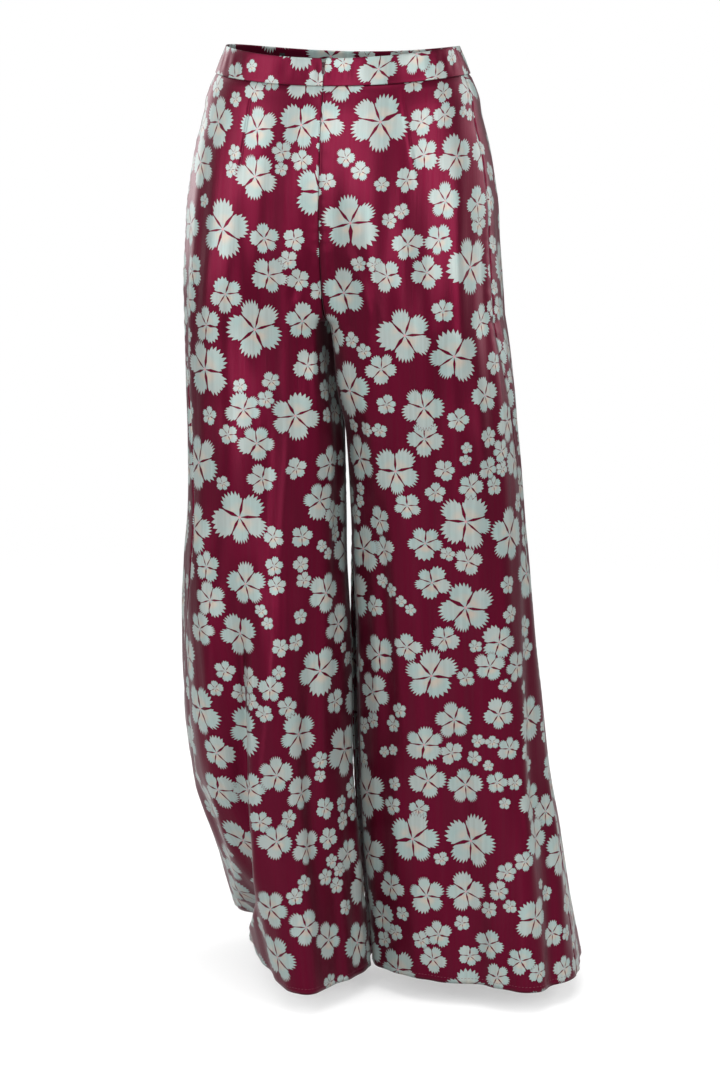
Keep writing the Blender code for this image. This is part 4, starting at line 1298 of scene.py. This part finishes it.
class PalazzoPrint(bpy.types.PropertyGroup):
    """The flower print and the satin."""

    large_radius: bpy.props.FloatProperty(
        name="Large flowers", description="Largest radius of the large flowers", default=0.0345,
        unit="LENGTH",
    )
    medium_radius: bpy.props.FloatProperty(
        name="Medium flowers", description="Largest radius of the medium flowers", default=0.0225,
        unit="LENGTH",
    )
    small_radius: bpy.props.FloatProperty(
        name="Small flowers", description="Largest radius of the small flowers", default=0.0145,
        unit="LENGTH",
    )
    ground: bpy.props.FloatVectorProperty(
        name="Ground", description="Colour between the flowers", subtype="COLOR", size=4,
        default=(0.102, 0.0030, 0.0185, 1.0),
    )
    # The darker streaks are painted shade of the satin's soft ripples, partly the slubs' own tone.
    shade: bpy.props.FloatVectorProperty(
        name="Streaks", description="Colour of the darker streaks", subtype="COLOR", size=4,
        default=(0.060, 0.020, 0.030, 1.0),
    )
    petal: bpy.props.FloatVectorProperty(
        name="Petals", description="Colour of the warm petals", subtype="COLOR", size=4,
        default=(0.312, 0.358, 0.342, 1.0),
    )
    cool_petal: bpy.props.FloatVectorProperty(
        name="Cool petals", description="Colour of the cool petals", subtype="COLOR", size=4,
        default=(0.274, 0.358, 0.344, 1.0),
    )
    blush: bpy.props.FloatVectorProperty(
        name="Blush", description="Colour of the petals' soft spots", subtype="COLOR", size=4,
        default=(0.470, 0.350, 0.275, 1.0),
    )
    eye: bpy.props.FloatVectorProperty(
        name="Eye", description="Colour of the flowers' middle dots", subtype="COLOR", size=4,
        default=(0.460, 0.240, 0.270, 1.0),
    )
    streak: bpy.props.FloatProperty(
        name="Streak strength", description="Strength of the darker streaks", default=0.12,
        subtype="FACTOR",
    )
    roughness: bpy.props.FloatProperty(
        name="Roughness", description="Roughness of the satin's face", default=0.36, subtype="FACTOR"
    )
    lustre: bpy.props.FloatProperty(
        name="Lustre", description="How far the ground's gloss takes its colour", default=0.70,
        subtype="FACTOR",
    )
    petal_lustre: bpy.props.FloatProperty(
        name="Petal lustre", description="How far the petals' gloss takes their colour", default=0.28,
        subtype="FACTOR",
    )
    sheen: bpy.props.FloatProperty(
        name="Sheen", description="Sheen of the satin's face", default=0.05, subtype="FACTOR"
    )


class PalazzoCloth(bpy.types.PropertyGroup):
    """The cloth and its sewing."""

    thickness: bpy.props.FloatProperty(
        name="Cloth", description="Thickness of the cloth", default=0.0005, unit="LENGTH"
    )
    turn_up: bpy.props.FloatProperty(
        name="Turn-up", description="How far inside the hem's turned edge lies", default=0.0011,
        unit="LENGTH",
    )
    stitch_above: bpy.props.FloatProperty(
        name="Hem stitches", description="Height of the stitches above the hem", default=0.0065,
        unit="LENGTH",
    )
    stitch_length: bpy.props.FloatProperty(
        name="Stitch", description="Length of one stitch", default=0.0026, unit="LENGTH"
    )
    thread: bpy.props.FloatProperty(
        name="Thread", description="Thickness of the thread", default=0.0005, unit="LENGTH"
    )


class PalazzoStage(bpy.types.PropertyGroup):
    """The floor and the lights."""

    floor_gap: bpy.props.FloatProperty(
        name="Floor", description="Gap between the hem and the floor", default=0.028, unit="LENGTH"
    )
    sky: bpy.props.FloatProperty(
        name="Ceiling light", description="Strength of the broad light from above", default=1.15
    )
    key: bpy.props.FloatProperty(
        name="Key light", description="Power of each tall light at the back", default=76.0, unit="POWER"
    )
    fill: bpy.props.FloatProperty(
        name="Fill light", description="Power of each light at the front", default=38.0, unit="POWER"
    )
    low: bpy.props.FloatProperty(
        name="Low light", description="Power of the low light behind the legs", default=11.0,
        unit="POWER",
    )
    glow: bpy.props.FloatProperty(
        name="Floor glow", description="How much of the floor's white is its own light", default=0.45
    )
    room: bpy.props.FloatProperty(
        name="Room light", description="Strength of the even light all round", default=0.25
    )


class PALAZZO_OT_leg_panels(bpy.types.Operator):
    """Make the four leg panels of printed satin"""

    bl_idname = "palazzo.leg_panels"
    bl_label = "Leg Panels"

    def execute(self, context):
        finishes = materials(context.scene)
        cloth = context.scene.palazzo_cloth
        for word, side in SIDES.items():
            for panel in ("back", "front"):
                leg_panel(f"{panel}_{word}", side, panel, finishes, cloth.thickness, cloth.turn_up)
        return {"FINISHED"}


class PALAZZO_OT_waistband(bpy.types.Operator):
    """Make the waistband's two backs and its front"""

    bl_idname = "palazzo.waistband"
    bl_label = "Waistband"

    def execute(self, context):
        waistband(materials(context.scene)["satin"])
        return {"FINISHED"}


class PALAZZO_OT_hem_stitches(bpy.types.Operator):
    """Sew the stitches round both hems"""

    bl_idname = "palazzo.hem_stitches"
    bl_label = "Hem Stitches"

    def execute(self, context):
        cloth = context.scene.palazzo_cloth
        thread = materials(context.scene)["thread"]
        sewing = (cloth.stitch_above, cloth.stitch_length, cloth.thread)
        for word, side in SIDES.items():
            for panel in ("back", "front"):
                hem_stitches(f"hem_stitches_{panel}_{word}", side, panel, *sewing, thread)
        return {"FINISHED"}


class PALAZZO_OT_zip(bpy.types.Operator):
    """Make the zip's tapes, coils, slider and pull tab"""

    bl_idname = "palazzo.zip"
    bl_label = "Zip"

    def execute(self, context):
        finishes = materials(context.scene)
        for word, side in SIDES.items():
            zip_tape(f"zip_tape_{word}", side, finishes["zip_tape"])
            zip_coil(f"zip_coil_{word}", side, finishes["coil"])
        softened_metal("zip_slider", "garment", finishes["enamel"])
        softened_metal("zip_pull_tab", "pull_tab", finishes["enamel"])
        return {"FINISHED"}


class PALAZZO_OT_label(bpy.types.Operator):
    """Make the plain woven label behind the waistband"""

    bl_idname = "palazzo.label"
    bl_label = "Label"

    def execute(self, context):
        label(materials(context.scene)["label"])
        return {"FINISHED"}


def paper_floor(gap, glow):
    """A pale floor under the hems. Only the camera sees its own light."""
    bm = bmesh.new()
    bmesh.ops.create_circle(bm, cap_ends=True, segments=FLOOR_SIDES, radius=FLOOR_RADIUS)
    bmesh.ops.translate(bm, vec=(0.0, 0.0, CAD_BOX[0][2] - gap), verts=bm.verts)
    paper, nodes, shader = new_material("paper_floor")
    place = nodes.add("ShaderNodeTexCoord").outputs["Object"]
    grain = nodes.add("ShaderNodeTexNoise", {"Vector": place, "Scale": 4.0, "Detail": 2.0})
    watched = nodes.add("ShaderNodeLightPath").outputs["Is Camera Ray"]
    away = nodes.vector("LENGTH", nodes.vector("MULTIPLY", place, (1.0, 1.0, 0.0)))
    finish = {
        "Base Color": nodes.blend(grain.outputs["Fac"], PAPER, PAPER_LIGHT),
        "Roughness": 0.9,
        "Specular IOR Level": 0.1,
        "Emission Color": WHITE,
        "Emission Strength": nodes.math("MULTIPLY", watched, glow),
        "Alpha": nodes.ramp(away, FLOOR_RADIUS, FLOOR_CLEAR * FLOOR_RADIUS),
    }
    nodes.fill(shader.inputs, finish)
    link("floor", bm, paper)


def white_room(light):
    """A room that is white to the camera and gives a little even light."""
    world = bpy.data.worlds.new("Room")
    world.use_nodes = True
    nodes = Nodes(world.node_tree)
    seen = nodes.add("ShaderNodeLightPath").outputs["Is Camera Ray"]
    strength = nodes.math("MULTIPLY_ADD", seen, 1.0 - light, light)
    nodes.fill(world.node_tree.nodes["Background"].inputs, {"Color": WHITE, "Strength": strength})
    bpy.context.scene.world = world


def aimed(name, data, place, ahead):
    """Put a light or a camera at a place, facing a direction."""
    obj = bpy.data.objects.new(name, data)
    obj.location = place
    obj.rotation_euler = Vector(ahead).to_track_quat("-Z", "Y").to_euler()
    bpy.context.scene.collection.objects.link(obj)
    return obj


def ceiling(strength):
    """The broad light from above."""
    data = bpy.data.lights.new("Ceiling", "SUN")
    data.energy = strength
    data.angle = CEILING_ANGLE
    aimed("Ceiling", data, (0.0, 0.0, 0.0), CEILING_AIM)


def area_light(name, place, aim, width, height, power):
    """A soft light that faces a point."""
    data = bpy.data.lights.new(name, "AREA")
    data.shape = "RECTANGLE"
    data.size = width
    data.size_y = height
    data.energy = power
    aimed(name, data, place, Vector(aim) - Vector(place))


def back_camera():
    """The camera, which frames the garment by its height."""
    data = bpy.data.cameras.new("Camera")
    data.sensor_fit = "VERTICAL"
    data.sensor_height = CAMERA_SENSOR
    data.lens = CAMERA_LENS
    data.clip_end = CAMERA_REACH
    heading, pitch = math.radians(CAMERA_HEADING), math.radians(CAMERA_PITCH)
    flat = math.cos(pitch)
    ahead = (math.sin(heading) * flat, -math.cos(heading) * flat, -math.sin(pitch))
    return aimed("Camera", data, CAMERA_PLACE, ahead)


class PALAZZO_OT_stage(bpy.types.Operator):
    """Set up the floor, the lights and the camera"""

    bl_idname = "palazzo.stage"
    bl_label = "Stage"

    def execute(self, context):
        stage = context.scene.palazzo_stage
        paper_floor(stage.floor_gap, stage.glow)
        white_room(stage.room)
        ceiling(stage.sky)
        for kind, (aim, size, places) in LIGHTS.items():
            for name, place in places.items():
                area_light(name, place, aim, *size, getattr(stage, kind))
        context.scene.view_settings.view_transform = "Standard"
        context.scene.camera = back_camera()
        return {"FINISHED"}


class PALAZZO_PT_panel(bpy.types.Panel):
    """Lists the garment's pieces and their settings"""

    bl_idname = "PALAZZO_PT_panel"
    bl_label = "Palazzo Pants"
    bl_space_type = "VIEW_3D"
    bl_region_type = "UI"
    bl_category = "Palazzo"

    def draw(self, context):
        for settings, operators in PANEL_LAYOUT:
            box = self.layout.box()
            group = getattr(context.scene, settings)
            for name in group.bl_rna.properties.keys():
                if name not in ("rna_type", "name"):
                    box.prop(group, name)
            for operator in operators:
                box.operator(operator.bl_idname)


SETTINGS = {
    "palazzo_print": PalazzoPrint,
    "palazzo_cloth": PalazzoCloth,
    "palazzo_stage": PalazzoStage,
}
PANEL_LAYOUT = (
    ("palazzo_print", (PALAZZO_OT_leg_panels, PALAZZO_OT_waistband)),
    ("palazzo_cloth", (PALAZZO_OT_hem_stitches, PALAZZO_OT_zip, PALAZZO_OT_label)),
    ("palazzo_stage", (PALAZZO_OT_stage,)),
)
CLASSES = (
    *SETTINGS.values(),
    *(operator for group in PANEL_LAYOUT for operator in group[1]),
    PALAZZO_PT_panel,
)


def register():
    """Register the classes and their settings."""
    for cls in CLASSES:
        bpy.utils.register_class(cls)
    for name, cls in SETTINGS.items():
        setattr(bpy.types.Scene, name, bpy.props.PointerProperty(type=cls))


def unregister():
    """Remove the settings and the classes."""
    for name in SETTINGS:
        delattr(bpy.types.Scene, name)
    for cls in reversed(CLASSES):
        bpy.utils.unregister_class(cls)


def main():
    """Register the settings, then make every piece and the stage."""
    register()
    bpy.ops.palazzo.stage()
    bpy.ops.palazzo.leg_panels()
    bpy.ops.palazzo.waistband()
    bpy.ops.palazzo.hem_stitches()
    bpy.ops.palazzo.zip()
    bpy.ops.palazzo.label()
    bpy.context.view_layer.update()


if __name__ == "__main__":
    main()
